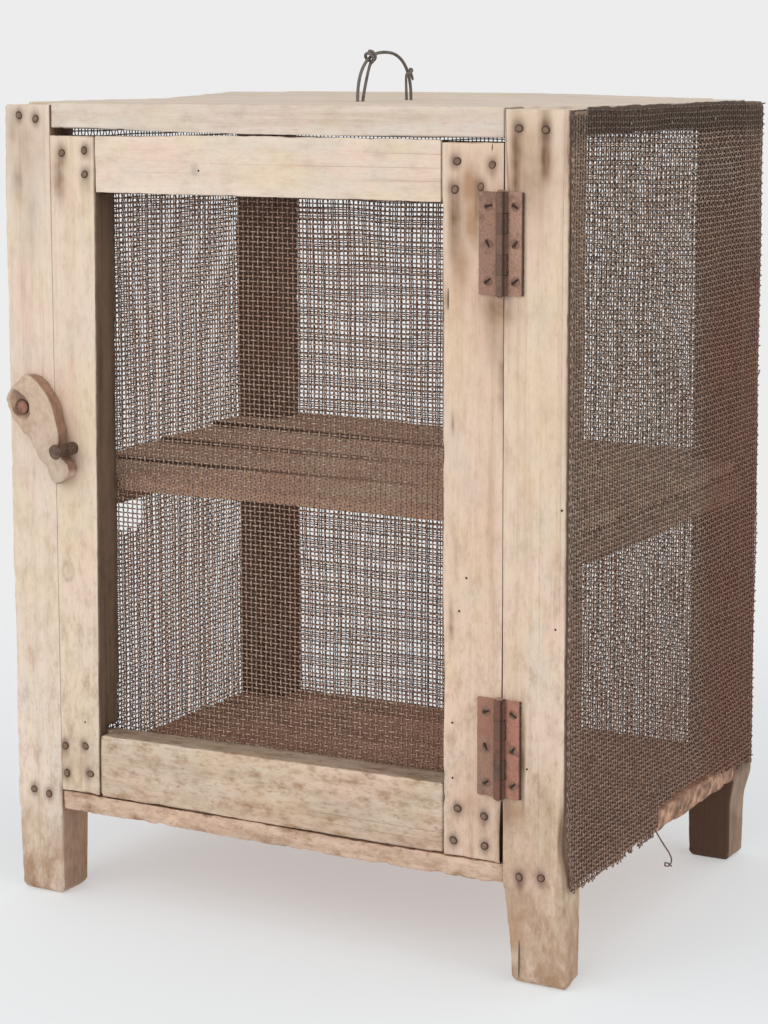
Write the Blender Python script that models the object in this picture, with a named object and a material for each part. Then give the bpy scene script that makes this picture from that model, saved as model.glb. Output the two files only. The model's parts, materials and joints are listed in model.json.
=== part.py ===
"""Food safe: a small larder cupboard on four posts, with wire-net walls, a slatted shelf and a net door.

Metres, +Z up, the front faces -Y. The origin is on the floor under the middle of the whole object.
"""

import math

import bmesh
import bpy
from mathutils import Vector

# Carcass
BODY_WIDTH = 0.3865
BODY_DEPTH = 0.299
BODY_HEIGHT = 0.5045
FRONT_POST_DEPTH = 0.0245
FRONT_LEFT_POST_WIDTH = 0.0343
FRONT_RIGHT_POST_WIDTH = 0.0389
BACK_POST_WIDTH = 0.033
BACK_POST_DEPTH = 0.031
FOOT_HEIGHT = 0.0575
FOOT_TAPER = 0.001
FRONT_RIGHT_FOOT_TAPER = 0.006
FOOT_WEAR = 0.0035
EASED_EDGE = 0.0012
TOP_BOARD_THICKNESS = 0.016
TOP_BOARD_PROUD = 0.0013
BOTTOM_BOARD_THICKNESS = 0.0122
BOARD_SETBACK = 0.0005

# Shelf
SHELF_TOP = 0.270
SLAT_THICKNESS = 0.007
FRONT_SLAT_WIDTH = 0.067
BACK_SLAT_WIDTH = 0.069
MIDDLE_SLATS = 2
SLAT_GAP = 0.003
SLAT_END_CLEARANCE = 0.003
SHELF_FRONT_CLEARANCE = 0.002
CLEAT_WIDTH = 0.016
CLEAT_HEIGHT = 0.017

# Door
DOOR_THICKNESS = 0.022
DOOR_CLOSING_GAP = 0.0006
DOOR_CLOSING_BEVEL = 0.0018
DOOR_HINGE_GAP = 0.0009
DOOR_TOP_GAP = 0.004
DOOR_BOTTOM_GAP = 0.0008
LEFT_STILE_WIDTH = 0.0318
RIGHT_STILE_WIDTH = 0.0374
TOP_RAIL_WIDTH = 0.0342
BOTTOM_RAIL_WIDTH = 0.0423
LAP_THICKNESS = 0.011

# Wire nets
NET_THICKNESS = 0.0016
NET_WIRE = 0.0018
NET_EDGE_MARGIN = 0.002
NET_TOP_MARGIN = 0.001
NET_BOTTOM_MARGIN = 0.0015
DOOR_NET_OVERLAP = 0.012
NET_COLUMNS = 9
NET_ROWS = 12

# Hinges
HINGE_HEIGHT = 0.058
UPPER_HINGE_INSET = 0.0272
LOWER_HINGE_INSET = 0.0398
LEAF_THICKNESS = 0.0016
DOOR_LEAF_REACH = 0.015
POST_LEAF_REACH = 0.0127
KNUCKLES = 5
KNUCKLE_GAP = 0.00025
PIN_RADIUS = 0.0014
PIN_CLEARANCE = 0.0003
PIN_HEAD_RADIUS = 0.0024
PIN_HEAD_HEIGHT = 0.0013
CURL_STEPS = 14
CURL_END = math.radians(385)
SCREW_HOLE_RADIUS = 0.0019
SCREW_HOLES = 3
SCREW_HOLE_SPACING = 0.021

# Latch
PIVOT_INSET = 0.0157
PIVOT_HEIGHT = 0.3165
BUTTON_THICKNESS = 0.014
BUTTON_ROUNDING = 0.0018
RECESS_RADIUS = 0.006
RECESS_FLOOR_RADIUS = 0.0048
RECESS_DEPTH = 0.007
PIVOT_SCREW_RADIUS = 0.0021
PIVOT_HEAD_RADIUS = 0.004
PIVOT_HEAD_HEIGHT = 0.002
PIVOT_CLEARANCE = 0.0005
PIVOT_DEPTH_IN_POST = 0.016
NAIL_FROM_PIVOT = (0.0329, -0.0245)
NAIL_RADIUS = 0.0031
NAIL_HEAD_RADIUS = 0.0044
NAIL_HEAD_HEIGHT = 0.0022
NAIL_REACH = 0.0205
NAIL_DEPTH_IN_STILE = 0.017

# The button's edge from its round head, down the left side, round the hook and back, as (x, z) from the pivot
BUTTON_EDGE = (
    (0.0087, 0.0212),
    (0.0034, 0.0198),
    (-0.0008, 0.0167),
    (-0.0062, 0.0135),
    (-0.0094, 0.0096),
    (-0.0105, 0.0056),
    (-0.0093, 0.0014),
    (-0.0069, -0.0035),
    (-0.0039, -0.0085),
    (0.0007, -0.0125),
    (0.0052, -0.0165),
    (0.0090, -0.0215),
    (0.0127, -0.0275),
    (0.0163, -0.0345),
    (0.0184, -0.0400),
    (0.0195, -0.0445),
    (0.0225, -0.0471),
    (0.0284, -0.0457),
    (0.0340, -0.0422),
    (0.0362, -0.0372),
    (0.0349, -0.0328),
    (0.0312, -0.0303),
    (0.0288, -0.0268),
    (0.0284, -0.0225),
    (0.0289, -0.0175),
    (0.0281, -0.0115),
    (0.0263, -0.0047),
    (0.0242, 0.0019),
    (0.0216, 0.0085),
    (0.0183, 0.0150),
    (0.0143, 0.0196),
)
BUTTON_STEPS = 2

# Wire handle
WIRE_RADIUS = 0.0011
HANDLE_X = 0.0005
BAIL_FRONT_FOOT = -0.0452
BAIL_BACK_FOOT = 0.0245
BAIL_HEIGHT = 0.0305
BAIL_SQUARENESS = 2.4
BAIL_STEPS = 22
CLINCH_LENGTH = 0.010
WIRE_BEND = 0.0025
TIE_FRONT_FOOT = -0.0397
TIE_BACK_FOOT = 0.0186
EYE_BAIL_STEP = 7
EYE_STEPS = 19
EYE_RADIUS = 0.0032
EYE_RISE = 0.0046
HOOK_BAIL_STEP = 18
HOOK_RADIUS = 0.003
STEPS_PER_TURN = 12
TAIL_LENGTH = 0.009

# Fits
SEAT_GAP = 0.0003
WIRE_CLEARANCE = 0.0004

# Positions that follow from the sizes
FRONT = -BODY_DEPTH / 2
BACK = BODY_DEPTH / 2
LEFT = -BODY_WIDTH / 2
RIGHT = BODY_WIDTH / 2
BOTTOM_BOARD_TOP = FOOT_HEIGHT + BOTTOM_BOARD_THICKNESS
TOP_BOARD_TOP = BODY_HEIGHT + TOP_BOARD_PROUD
TOP_BOARD_UNDER = TOP_BOARD_TOP - TOP_BOARD_THICKNESS
DOOR_LEFT = LEFT + FRONT_LEFT_POST_WIDTH + DOOR_CLOSING_GAP
DOOR_RIGHT = RIGHT - FRONT_RIGHT_POST_WIDTH - DOOR_HINGE_GAP
DOOR_BOTTOM = BOTTOM_BOARD_TOP + DOOR_BOTTOM_GAP
DOOR_TOP = TOP_BOARD_UNDER - DOOR_TOP_GAP
DOOR_BACK = FRONT + DOOR_THICKNESS
SIGHT_LEFT = DOOR_LEFT + LEFT_STILE_WIDTH
SIGHT_RIGHT = DOOR_RIGHT - RIGHT_STILE_WIDTH
SIGHT_BOTTOM = DOOR_BOTTOM + BOTTOM_RAIL_WIDTH
SIGHT_TOP = DOOR_TOP - TOP_RAIL_WIDTH
NET_STANDOFF = SEAT_GAP + NET_THICKNESS
CURL_INNER_RADIUS = PIN_RADIUS + PIN_CLEARANCE
CURL_RADIUS = CURL_INNER_RADIUS + LEAF_THICKNESS
HINGE_X = DOOR_RIGHT + DOOR_HINGE_GAP / 2
HINGE_Y = FRONT - SEAT_GAP - CURL_RADIUS
UPPER_HINGE_CENTRE = DOOR_TOP - UPPER_HINGE_INSET - HINGE_HEIGHT / 2
LOWER_HINGE_CENTRE = DOOR_BOTTOM + LOWER_HINGE_INSET + HINGE_HEIGHT / 2
PIVOT_X = LEFT + PIVOT_INSET
BUTTON_BACK = FRONT - SEAT_GAP
BUTTON_FRONT = BUTTON_BACK - BUTTON_THICKNESS
NAIL_X = PIVOT_X + NAIL_FROM_PIVOT[0]
NAIL_Z = PIVOT_HEIGHT + NAIL_FROM_PIVOT[1]
SLAT_UNDER = SHELF_TOP - SLAT_THICKNESS
SHELF_BACK = BACK - SEAT_GAP
SHELF_FRONT = max(
    DOOR_BACK + NET_STANDOFF + SHELF_FRONT_CLEARANCE,
    FRONT + FRONT_POST_DEPTH + SEAT_GAP,
)
CENTRE_SHIFT = -((FRONT - NAIL_REACH) + (BACK + NET_STANDOFF)) / 2

# Colour, roughness and metallic value of each finish
FINISHES = {
    "pale_wood": ((0.60, 0.46, 0.33), 0.80, 0.0),
    "worn_board": ((0.57, 0.45, 0.34), 0.85, 0.0),
    "stained_wood": ((0.21, 0.135, 0.09), 0.80, 0.0),
    "rusty_net": ((0.095, 0.06, 0.045), 0.75, 0.4),
    "rusty_steel": ((0.17, 0.085, 0.06), 0.70, 0.6),
    "dark_wire": ((0.075, 0.06, 0.055), 0.55, 0.8),
}


def clear_scene():
    for old in list(bpy.data.objects):
        bpy.data.objects.remove(old, do_unlink=True)


def finish(node, kind):
    """A Principled material for one piece."""
    colour, roughness, metallic = FINISHES[kind]
    material = bpy.data.materials.new(f"{node}_{kind}")
    material.use_nodes = True
    shader = material.node_tree.nodes["Principled BSDF"]
    shader.inputs["Base Color"].default_value = (*colour, 1.0)
    shader.inputs["Roughness"].default_value = roughness
    shader.inputs["Metallic"].default_value = metallic
    material.diffuse_color = (*colour, 1.0)
    return material


def axis_empty(name, place, parent=None):
    """An empty on a joint's axis, or at the object's own origin, that carries pieces."""
    empty = bpy.data.objects.new(name, None)
    bpy.context.collection.objects.link(empty)
    empty.empty_display_size = 0.02
    empty.parent = parent
    empty.location = Vector(place)
    return empty


def carry(piece, carrier):
    """Parents a piece drawn in carcass coordinates to its carrier, without moving it."""
    piece.parent = carrier
    if carrier.parent is not None:
        piece.location = -carrier.location


def add_piece(name, shape, kind, carrier):
    """Turns a bmesh into a named object with its own finish."""
    bmesh.ops.recalc_face_normals(shape, faces=shape.faces)
    mesh = bpy.data.meshes.new(name)
    shape.to_mesh(mesh)
    shape.free()
    piece = bpy.data.objects.new(name, mesh)
    bpy.context.collection.objects.link(piece)
    mesh.materials.append(finish(name, kind))
    carry(piece, carrier)
    return piece


def prism(outline, along, low, high):
    """An outline of pairs, extruded along x, y or z between two places on that axis."""
    order = {"x": (2, 0, 1), "y": (0, 2, 1), "z": (0, 1, 2)}[along]
    shape = bmesh.new()
    corners = []
    for first, second in outline:
        triple = (first, second, low)
        corners.append(shape.verts.new([triple[i] for i in order]))
    face = shape.faces.new(corners)
    grown = bmesh.ops.extrude_face_region(shape, geom=[face])
    moved = [item for item in grown["geom"] if isinstance(item, bmesh.types.BMVert)]
    step = {"x": (1, 0, 0), "y": (0, 1, 0), "z": (0, 0, 1)}[along]
    bmesh.ops.translate(shape, verts=moved, vec=Vector(step) * (high - low))
    bmesh.ops.recalc_face_normals(shape, faces=shape.faces)
    return shape


def box_outline(low_a, high_a, low_b, high_b):
    return [(low_a, low_b), (high_a, low_b), (high_a, high_b), (low_a, high_b)]


def round_over(shape, edges, width, segments):
    bmesh.ops.bevel(
        shape,
        geom=edges,
        offset=width,
        segments=segments,
        profile=0.5,
        affect="EDGES",
        clamp_overlap=True,
    )


def ease(shape, width, segments=1, least_angle=35):
    """Bevels the outward corners of a shape, as wear and sandpaper do, and leaves inside corners sharp."""
    sharp = []
    for edge in shape.edges:
        if edge.is_convex and edge.calc_face_angle(0.0) > math.radians(least_angle):
            sharp.append(edge)
    round_over(shape, sharp, width, segments)


def turned(profile, sides, place, axis):
    """A solid turned from (radius, height) pairs about a line through a place along y or z."""
    shape = bmesh.new()
    rings = []
    for radius, height in profile:
        ring = []
        count = sides if radius > 0 else 1
        for i in range(count):
            angle = math.tau * i / sides
            across = (radius * math.cos(angle), radius * math.sin(angle))
            if axis == "z":
                offset = (across[0], across[1], height)
            else:
                offset = (across[0], height, across[1])
            ring.append(shape.verts.new(Vector(place) + Vector(offset)))
        rings.append(ring)
    for lower, upper in zip(rings, rings[1:]):
        for i in range(sides):
            quad = [lower[i % len(lower)], lower[(i + 1) % len(lower)]]
            quad += [upper[(i + 1) % len(upper)], upper[i % len(upper)]]
            corners = list(dict.fromkeys(quad))
            if len(corners) > 2:
                shape.faces.new(corners)
    for ring in (rings[0], rings[-1]):
        if len(ring) > 2:
            shape.faces.new(ring)
    return shape


def cut(piece, name, shape, carrier):
    """Takes a shape out of a piece with a hidden cutter."""
    bmesh.ops.recalc_face_normals(shape, faces=shape.faces)
    mesh = bpy.data.meshes.new(name)
    shape.to_mesh(mesh)
    shape.free()
    cutter = bpy.data.objects.new(name, mesh)
    bpy.context.collection.objects.link(cutter)
    cutter.hide_render = True
    cutter.display_type = "WIRE"
    carry(cutter, carrier)
    modifier = piece.modifiers.new(name, "BOOLEAN")
    modifier.operation = "DIFFERENCE"
    modifier.object = cutter


def hole(radius, place, axis, low, high, sides=14):
    return turned([(radius, low), (radius, high)], sides, place, axis)


def post(name, carrier, x_range, y_range, inner_taper):
    """A full-height corner post whose lower end narrows into a worn foot.

    inner_taper is taken off the foot's inner side, towards the middle of the carcass.
    """
    shape = bmesh.new()
    inner_is_high = abs(x_range[1]) < abs(x_range[0])
    foot_x = [x_range[0] + FOOT_TAPER, x_range[1] - FOOT_TAPER]
    if inner_is_high:
        foot_x[1] = x_range[1] - inner_taper
    else:
        foot_x[0] = x_range[0] + inner_taper
    foot_y = (y_range[0] + FOOT_TAPER, y_range[1] - FOOT_TAPER)
    sections = (
        (foot_x, foot_y, 0.0),
        (x_range, y_range, FOOT_HEIGHT),
        (x_range, y_range, BODY_HEIGHT),
    )
    rings = []
    for xs, ys, z in sections:
        outline = box_outline(xs[0], xs[1], ys[0], ys[1])
        rings.append([shape.verts.new((x, y, z)) for x, y in outline])
    for lower, upper in zip(rings, rings[1:]):
        for i in range(4):
            shape.faces.new((lower[i], lower[(i + 1) % 4], upper[(i + 1) % 4], upper[i]))
    shape.faces.new(rings[0])
    shape.faces.new(rings[-1])
    bmesh.ops.recalc_face_normals(shape, faces=shape.faces)
    sole = [edge for edge in shape.edges if all(vert.co.z < FOOT_WEAR for vert in edge.verts)]
    round_over(shape, sole, FOOT_WEAR, 2)
    ease(shape, EASED_EDGE)
    return add_piece(name, shape, "pale_wood", carrier)


def build_posts(carrier):
    front_y = (FRONT, FRONT + FRONT_POST_DEPTH)
    back_y = (BACK - BACK_POST_DEPTH, BACK)
    left = post(
        "front_left_post", carrier, (LEFT, LEFT + FRONT_LEFT_POST_WIDTH), front_y, FOOT_TAPER
    )
    post(
        "front_right_post", carrier, (RIGHT - FRONT_RIGHT_POST_WIDTH, RIGHT), front_y, FRONT_RIGHT_FOOT_TAPER
    )
    post("back_left_post", carrier, (LEFT, LEFT + BACK_POST_WIDTH), back_y, FOOT_TAPER)
    post("back_right_post", carrier, (RIGHT - BACK_POST_WIDTH, RIGHT), back_y, FOOT_TAPER)
    pilot = hole(
        PIVOT_SCREW_RADIUS + SEAT_GAP,
        (PIVOT_X, FRONT, PIVOT_HEIGHT),
        "y",
        -EASED_EDGE,
        PIVOT_DEPTH_IN_POST + SEAT_GAP,
    )
    cut(left, "pivot_pilot_hole", pilot, carrier)


def notched_board_outline():
    """The carcass plan with a notch round each post."""
    front_left = LEFT + FRONT_LEFT_POST_WIDTH + SEAT_GAP
    front_right = RIGHT - FRONT_RIGHT_POST_WIDTH - SEAT_GAP
    front_notch = FRONT + FRONT_POST_DEPTH + SEAT_GAP
    back_left = LEFT + BACK_POST_WIDTH + SEAT_GAP
    back_right = RIGHT - BACK_POST_WIDTH - SEAT_GAP
    back_notch = BACK - BACK_POST_DEPTH - SEAT_GAP
    front_edge = FRONT + BOARD_SETBACK
    return [
        (front_left, front_edge),
        (front_right, front_edge),
        (front_right, front_notch),
        (RIGHT, front_notch),
        (RIGHT, back_notch),
        (back_right, back_notch),
        (back_right, BACK),
        (back_left, BACK),
        (back_left, back_notch),
        (LEFT, back_notch),
        (LEFT, front_notch),
        (front_left, front_notch),
    ]


def build_boards(carrier):
    shape = prism(notched_board_outline(), "z", TOP_BOARD_UNDER, TOP_BOARD_TOP)
    ease(shape, EASED_EDGE)
    top = add_piece("top_board", shape, "worn_board", carrier)
    for number, foot in enumerate((BAIL_FRONT_FOOT, BAIL_BACK_FOOT, TIE_FRONT_FOOT, TIE_BACK_FOOT)):
        through = hole(
            WIRE_RADIUS + WIRE_CLEARANCE,
            (HANDLE_X, foot, TOP_BOARD_UNDER),
            "z",
            -EASED_EDGE,
            TOP_BOARD_THICKNESS + EASED_EDGE,
            sides=8,
        )
        cut(top, f"wire_hole_{number + 1}", through, carrier)
    shape = prism(notched_board_outline(), "z", FOOT_HEIGHT, BOTTOM_BOARD_TOP)
    ease(shape, EASED_EDGE)
    add_piece("bottom_board", shape, "worn_board", carrier)


def build_shelf(carrier):
    """Cleats between the posts, and slats across them. The last slat is notched round the back posts."""
    cleat_front = FRONT + FRONT_POST_DEPTH + SEAT_GAP
    cleat_back = BACK - BACK_POST_DEPTH - SEAT_GAP
    cleat_top = SLAT_UNDER - SEAT_GAP
    for side, low, high in (
        ("left", LEFT, LEFT + CLEAT_WIDTH),
        ("right", RIGHT - CLEAT_WIDTH, RIGHT),
    ):
        outline = box_outline(low, high, cleat_front, cleat_back)
        shape = prism(outline, "z", cleat_top - CLEAT_HEIGHT, cleat_top)
        ease(shape, EASED_EDGE)
        add_piece(f"shelf_cleat_{side}", shape, "stained_wood", carrier)
    end = RIGHT - SLAT_END_CLEARANCE
    notch_y = BACK - BACK_POST_DEPTH - SEAT_GAP
    notch_x = RIGHT - BACK_POST_WIDTH - SEAT_GAP
    gaps = (MIDDLE_SLATS + 1) * SLAT_GAP
    shared = SHELF_BACK - SHELF_FRONT - FRONT_SLAT_WIDTH - BACK_SLAT_WIDTH - gaps
    widths = [FRONT_SLAT_WIDTH, *[shared / MIDDLE_SLATS] * MIDDLE_SLATS, BACK_SLAT_WIDTH]
    near = SHELF_FRONT
    for number, width in enumerate(widths, start=1):
        far = near + width
        outline = [(-end, near), (end, near)]
        if number == len(widths):
            outline += [(end, notch_y), (notch_x, notch_y), (notch_x, far)]
            outline += [(-notch_x, far), (-notch_x, notch_y), (-end, notch_y)]
        else:
            outline += [(end, far), (-end, far)]
        shape = prism(outline, "z", SLAT_UNDER, SHELF_TOP)
        ease(shape, EASED_EDGE)
        add_piece(f"shelf_slat_{number}", shape, "stained_wood", carrier)
        near = far + SLAT_GAP


def build_door_frame(carrier):
    """Stiles run full height in front; the rails' half-thick tongues pass behind them.

    The closing edge slopes inwards to the back, so that it clears the post when the door swings.
    """
    lap_front = FRONT + LAP_THICKNESS - SEAT_GAP / 2
    lap_back = FRONT + LAP_THICKNESS + SEAT_GAP / 2
    notch_low = SIGHT_BOTTOM + SEAT_GAP
    notch_high = SIGHT_TOP - SEAT_GAP
    side_view = [
        (FRONT, DOOR_BOTTOM),
        (lap_front, DOOR_BOTTOM),
        (lap_front, notch_low),
        (DOOR_BACK, notch_low),
        (DOOR_BACK, notch_high),
        (lap_front, notch_high),
        (lap_front, DOOR_TOP),
        (FRONT, DOOR_TOP),
    ]
    left = prism(side_view, "x", DOOR_LEFT, SIGHT_LEFT)
    for vert in left.verts:
        if vert.co.x < (DOOR_LEFT + SIGHT_LEFT) / 2:
            vert.co.x += DOOR_CLOSING_BEVEL * (vert.co.y - FRONT) / DOOR_THICKNESS
    ease(left, EASED_EDGE)
    left_stile = add_piece("door_left_stile", left, "pale_wood", carrier)
    nail_hole = hole(
        NAIL_RADIUS + SEAT_GAP,
        (NAIL_X, FRONT, NAIL_Z),
        "y",
        -EASED_EDGE,
        NAIL_DEPTH_IN_STILE + SEAT_GAP,
    )
    cut(left_stile, "catch_nail_hole", nail_hole, carrier)
    right = prism(side_view, "x", SIGHT_RIGHT, DOOR_RIGHT)
    ease(right, EASED_EDGE)
    add_piece("door_right_stile", right, "pale_wood", carrier)
    plan = [
        (SIGHT_LEFT + SEAT_GAP, FRONT),
        (SIGHT_RIGHT - SEAT_GAP, FRONT),
        (SIGHT_RIGHT - SEAT_GAP, lap_back),
        (DOOR_RIGHT, lap_back),
        (DOOR_RIGHT, DOOR_BACK),
        (DOOR_LEFT + DOOR_CLOSING_BEVEL, DOOR_BACK),
        (DOOR_LEFT + DOOR_CLOSING_BEVEL, lap_back),
        (SIGHT_LEFT + SEAT_GAP, lap_back),
    ]
    for name, low, high in (
        ("door_top_rail", SIGHT_TOP, DOOR_TOP),
        ("door_bottom_rail", DOOR_BOTTOM, SIGHT_BOTTOM),
    ):
        shape = prism(plan, "z", low, high)
        ease(shape, EASED_EDGE)
        add_piece(name, shape, "pale_wood", carrier)


def bar_edges(low, high, gaps):
    """Both edges of each wire across a net that has this many gaps."""
    pitch = (high - low - NET_WIRE) / gaps
    edges = []
    for i in range(gaps + 1):
        edges += [low + i * pitch, low + i * pitch + NET_WIRE]
    return edges


def net(name, carrier, u_range, v_range, depth, flat_axis):
    """A flat wire net: a plate with square gaps. flat_axis is the axis that it is thin along."""
    us = bar_edges(*u_range, NET_COLUMNS)
    vs = bar_edges(*v_range, NET_ROWS)
    shape = bmesh.new()
    layers = []
    for level in depth:
        grid = {}
        for i, u in enumerate(us):
            for j, v in enumerate(vs):
                corner = (level, u, v) if flat_axis == "x" else (u, level, v)
                grid[i, j] = shape.verts.new(corner)
        layers.append(grid)

    def is_solid(i, j):
        inside = 0 <= i < len(us) - 1 and 0 <= j < len(vs) - 1
        return inside and (i % 2 == 0 or j % 2 == 0)

    for i in range(len(us) - 1):
        for j in range(len(vs) - 1):
            if not is_solid(i, j):
                continue
            around = [(i, j), (i + 1, j), (i + 1, j + 1), (i, j + 1)]
            for grid in layers:
                shape.faces.new([grid[key] for key in around])
            beside = [(i, j - 1), (i + 1, j), (i, j + 1), (i - 1, j)]
            for k, cell in enumerate(beside):
                if not is_solid(*cell):
                    a = around[k]
                    b = around[(k + 1) % 4]
                    shape.faces.new((layers[0][a], layers[0][b], layers[1][b], layers[1][a]))
    return add_piece(name, shape, "rusty_net", carrier)


def build_wall_nets(carrier):
    heights = (FOOT_HEIGHT + NET_BOTTOM_MARGIN, BODY_HEIGHT - NET_TOP_MARGIN)
    side_run = (FRONT + NET_EDGE_MARGIN, BACK)
    back_run = (LEFT, RIGHT)
    net("right_net", carrier, side_run, heights, (RIGHT + SEAT_GAP, RIGHT + NET_STANDOFF), "x")
    net("left_net", carrier, side_run, heights, (LEFT - NET_STANDOFF, LEFT - SEAT_GAP), "x")
    net("back_net", carrier, back_run, heights, (BACK + SEAT_GAP, BACK + NET_STANDOFF), "y")


def build_door_net(carrier):
    across = (SIGHT_LEFT - DOOR_NET_OVERLAP, SIGHT_RIGHT + DOOR_NET_OVERLAP)
    heights = (SIGHT_BOTTOM - DOOR_NET_OVERLAP, SIGHT_TOP + DOOR_NET_OVERLAP)
    net("door_net", carrier, across, heights, (DOOR_BACK + SEAT_GAP, DOOR_BACK + NET_STANDOFF), "y")


def curl_outline(side):
    """The rolled end of a hinge leaf, as (x, y) from the pin: plate tail, outer roll, inner roll."""
    tail = CURL_RADIUS + PIN_CLEARANCE
    outline = [(side * tail, CURL_RADIUS)]
    angles = []
    for i in range(CURL_STEPS + 1):
        angles.append(math.pi / 2 + (CURL_END - math.pi / 2) * i / CURL_STEPS)
    for angle in angles:
        outline.append((side * CURL_RADIUS * math.cos(angle), CURL_RADIUS * math.sin(angle)))
    for angle in reversed(angles):
        outline.append(
            (side * CURL_INNER_RADIUS * math.cos(angle), CURL_INNER_RADIUS * math.sin(angle))
        )
    outline.append((side * tail, CURL_INNER_RADIUS))
    return outline


def hinge_leaf(name, carrier, centre_z, side, first_knuckle):
    """A leaf of rolled sheet: a flat plate whose inner edge is cut into tabs and rolled round the pin.

    side is +1 for the leaf on the post and -1 for the one on the door.
    """
    low = centre_z - HINGE_HEIGHT / 2
    knuckle = HINGE_HEIGHT / KNUCKLES
    tabs = []
    for i in range(first_knuckle, KNUCKLES, 2):
        start = low + i * knuckle + (KNUCKLE_GAP / 2 if i > 0 else 0.0)
        stop = low + (i + 1) * knuckle - (KNUCKLE_GAP / 2 if i < KNUCKLES - 1 else 0.0)
        tabs.append((start, stop))
    levels = sorted({low, low + HINGE_HEIGHT} | {z for tab in tabs for z in tab})
    curl = curl_outline(side)
    reach = POST_LEAF_REACH if side > 0 else DOOR_LEAF_REACH
    plate_far = [(side * reach, CURL_INNER_RADIUS), (side * reach, CURL_RADIUS)]
    shape = bmesh.new()

    def ring(points, z):
        return [shape.verts.new((HINGE_X + x, HINGE_Y + y, z)) for x, y in points]

    def wall(lower, upper, closed):
        count = len(lower) if closed else len(lower) - 1
        for i in range(count):
            k = (i + 1) % len(lower)
            shape.faces.new((lower[i], lower[k], upper[k], upper[i]))

    plates = []
    for z in levels:
        plates.append(ring([curl[-1], *plate_far, curl[0]], z))
    shape.faces.new(plates[0])
    shape.faces.new(plates[-1])
    for index, (z_low, z_high) in enumerate(zip(levels, levels[1:])):
        lower, upper = plates[index], plates[index + 1]
        wall(lower, upper, closed=False)
        if (z_low, z_high) not in tabs:
            shape.faces.new((lower[3], lower[0], upper[0], upper[3]))
            continue
        rolls = []
        for z, plate in ((z_low, lower), (z_high, upper)):
            roll = [plate[3], *ring(curl[1:-1], z), plate[0]]
            shape.faces.new(roll)
            rolls.append(roll)
        wall(rolls[0], rolls[1], closed=False)
    leaf = add_piece(name, shape, "rusty_steel", carrier)
    hole_x = HINGE_X + side * (CURL_RADIUS + reach) / 2
    for i in range(SCREW_HOLES):
        z = centre_z + (i - (SCREW_HOLES - 1) / 2) * SCREW_HOLE_SPACING
        through = hole(
            SCREW_HOLE_RADIUS,
            (hole_x, HINGE_Y, z),
            "y",
            0.0,
            CURL_RADIUS + LEAF_THICKNESS,
            sides=12,
        )
        cut(leaf, f"{name}_screw_hole_{i + 1}", through, carrier)


def hinge_pin(name, carrier, centre_z):
    half = HINGE_HEIGHT / 2 + KNUCKLE_GAP
    profile = [
        (0.0, -half - PIN_HEAD_HEIGHT),
        (PIN_HEAD_RADIUS * 0.8, -half - PIN_HEAD_HEIGHT * 0.8),
        (PIN_HEAD_RADIUS, -half),
        (PIN_RADIUS, -half),
        (PIN_RADIUS, half),
        (PIN_HEAD_RADIUS, half),
        (PIN_HEAD_RADIUS * 0.8, half + PIN_HEAD_HEIGHT * 0.8),
        (0.0, half + PIN_HEAD_HEIGHT),
    ]
    shape = turned(profile, 14, (HINGE_X, HINGE_Y, centre_z), "z")
    add_piece(name, shape, "rusty_steel", carrier)


def build_hinges(body, door):
    for where, centre_z in (("upper", UPPER_HINGE_CENTRE), ("lower", LOWER_HINGE_CENTRE)):
        hinge_leaf(f"{where}_hinge_post_leaf", body, centre_z, 1, 0)
        hinge_leaf(f"{where}_hinge_door_leaf", door, centre_z, -1, 1)
        hinge_pin(f"{where}_hinge_pin", body, centre_z)


def smooth_loop(points, steps):
    """A closed Catmull-Rom curve through the points."""
    loop = []
    count = len(points)
    for i in range(count):
        p0, p1, p2, p3 = (Vector(points[(i + k - 1) % count]) for k in range(4))
        for step in range(steps):
            t = step / steps
            spot = 0.5 * (
                2 * p1
                + (p2 - p0) * t
                + (2 * p0 - 5 * p1 + 4 * p2 - p3) * t**2
                + (3 * p1 - p0 - 3 * p2 + p3) * t**3
            )
            loop.append(spot)
    return loop


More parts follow.
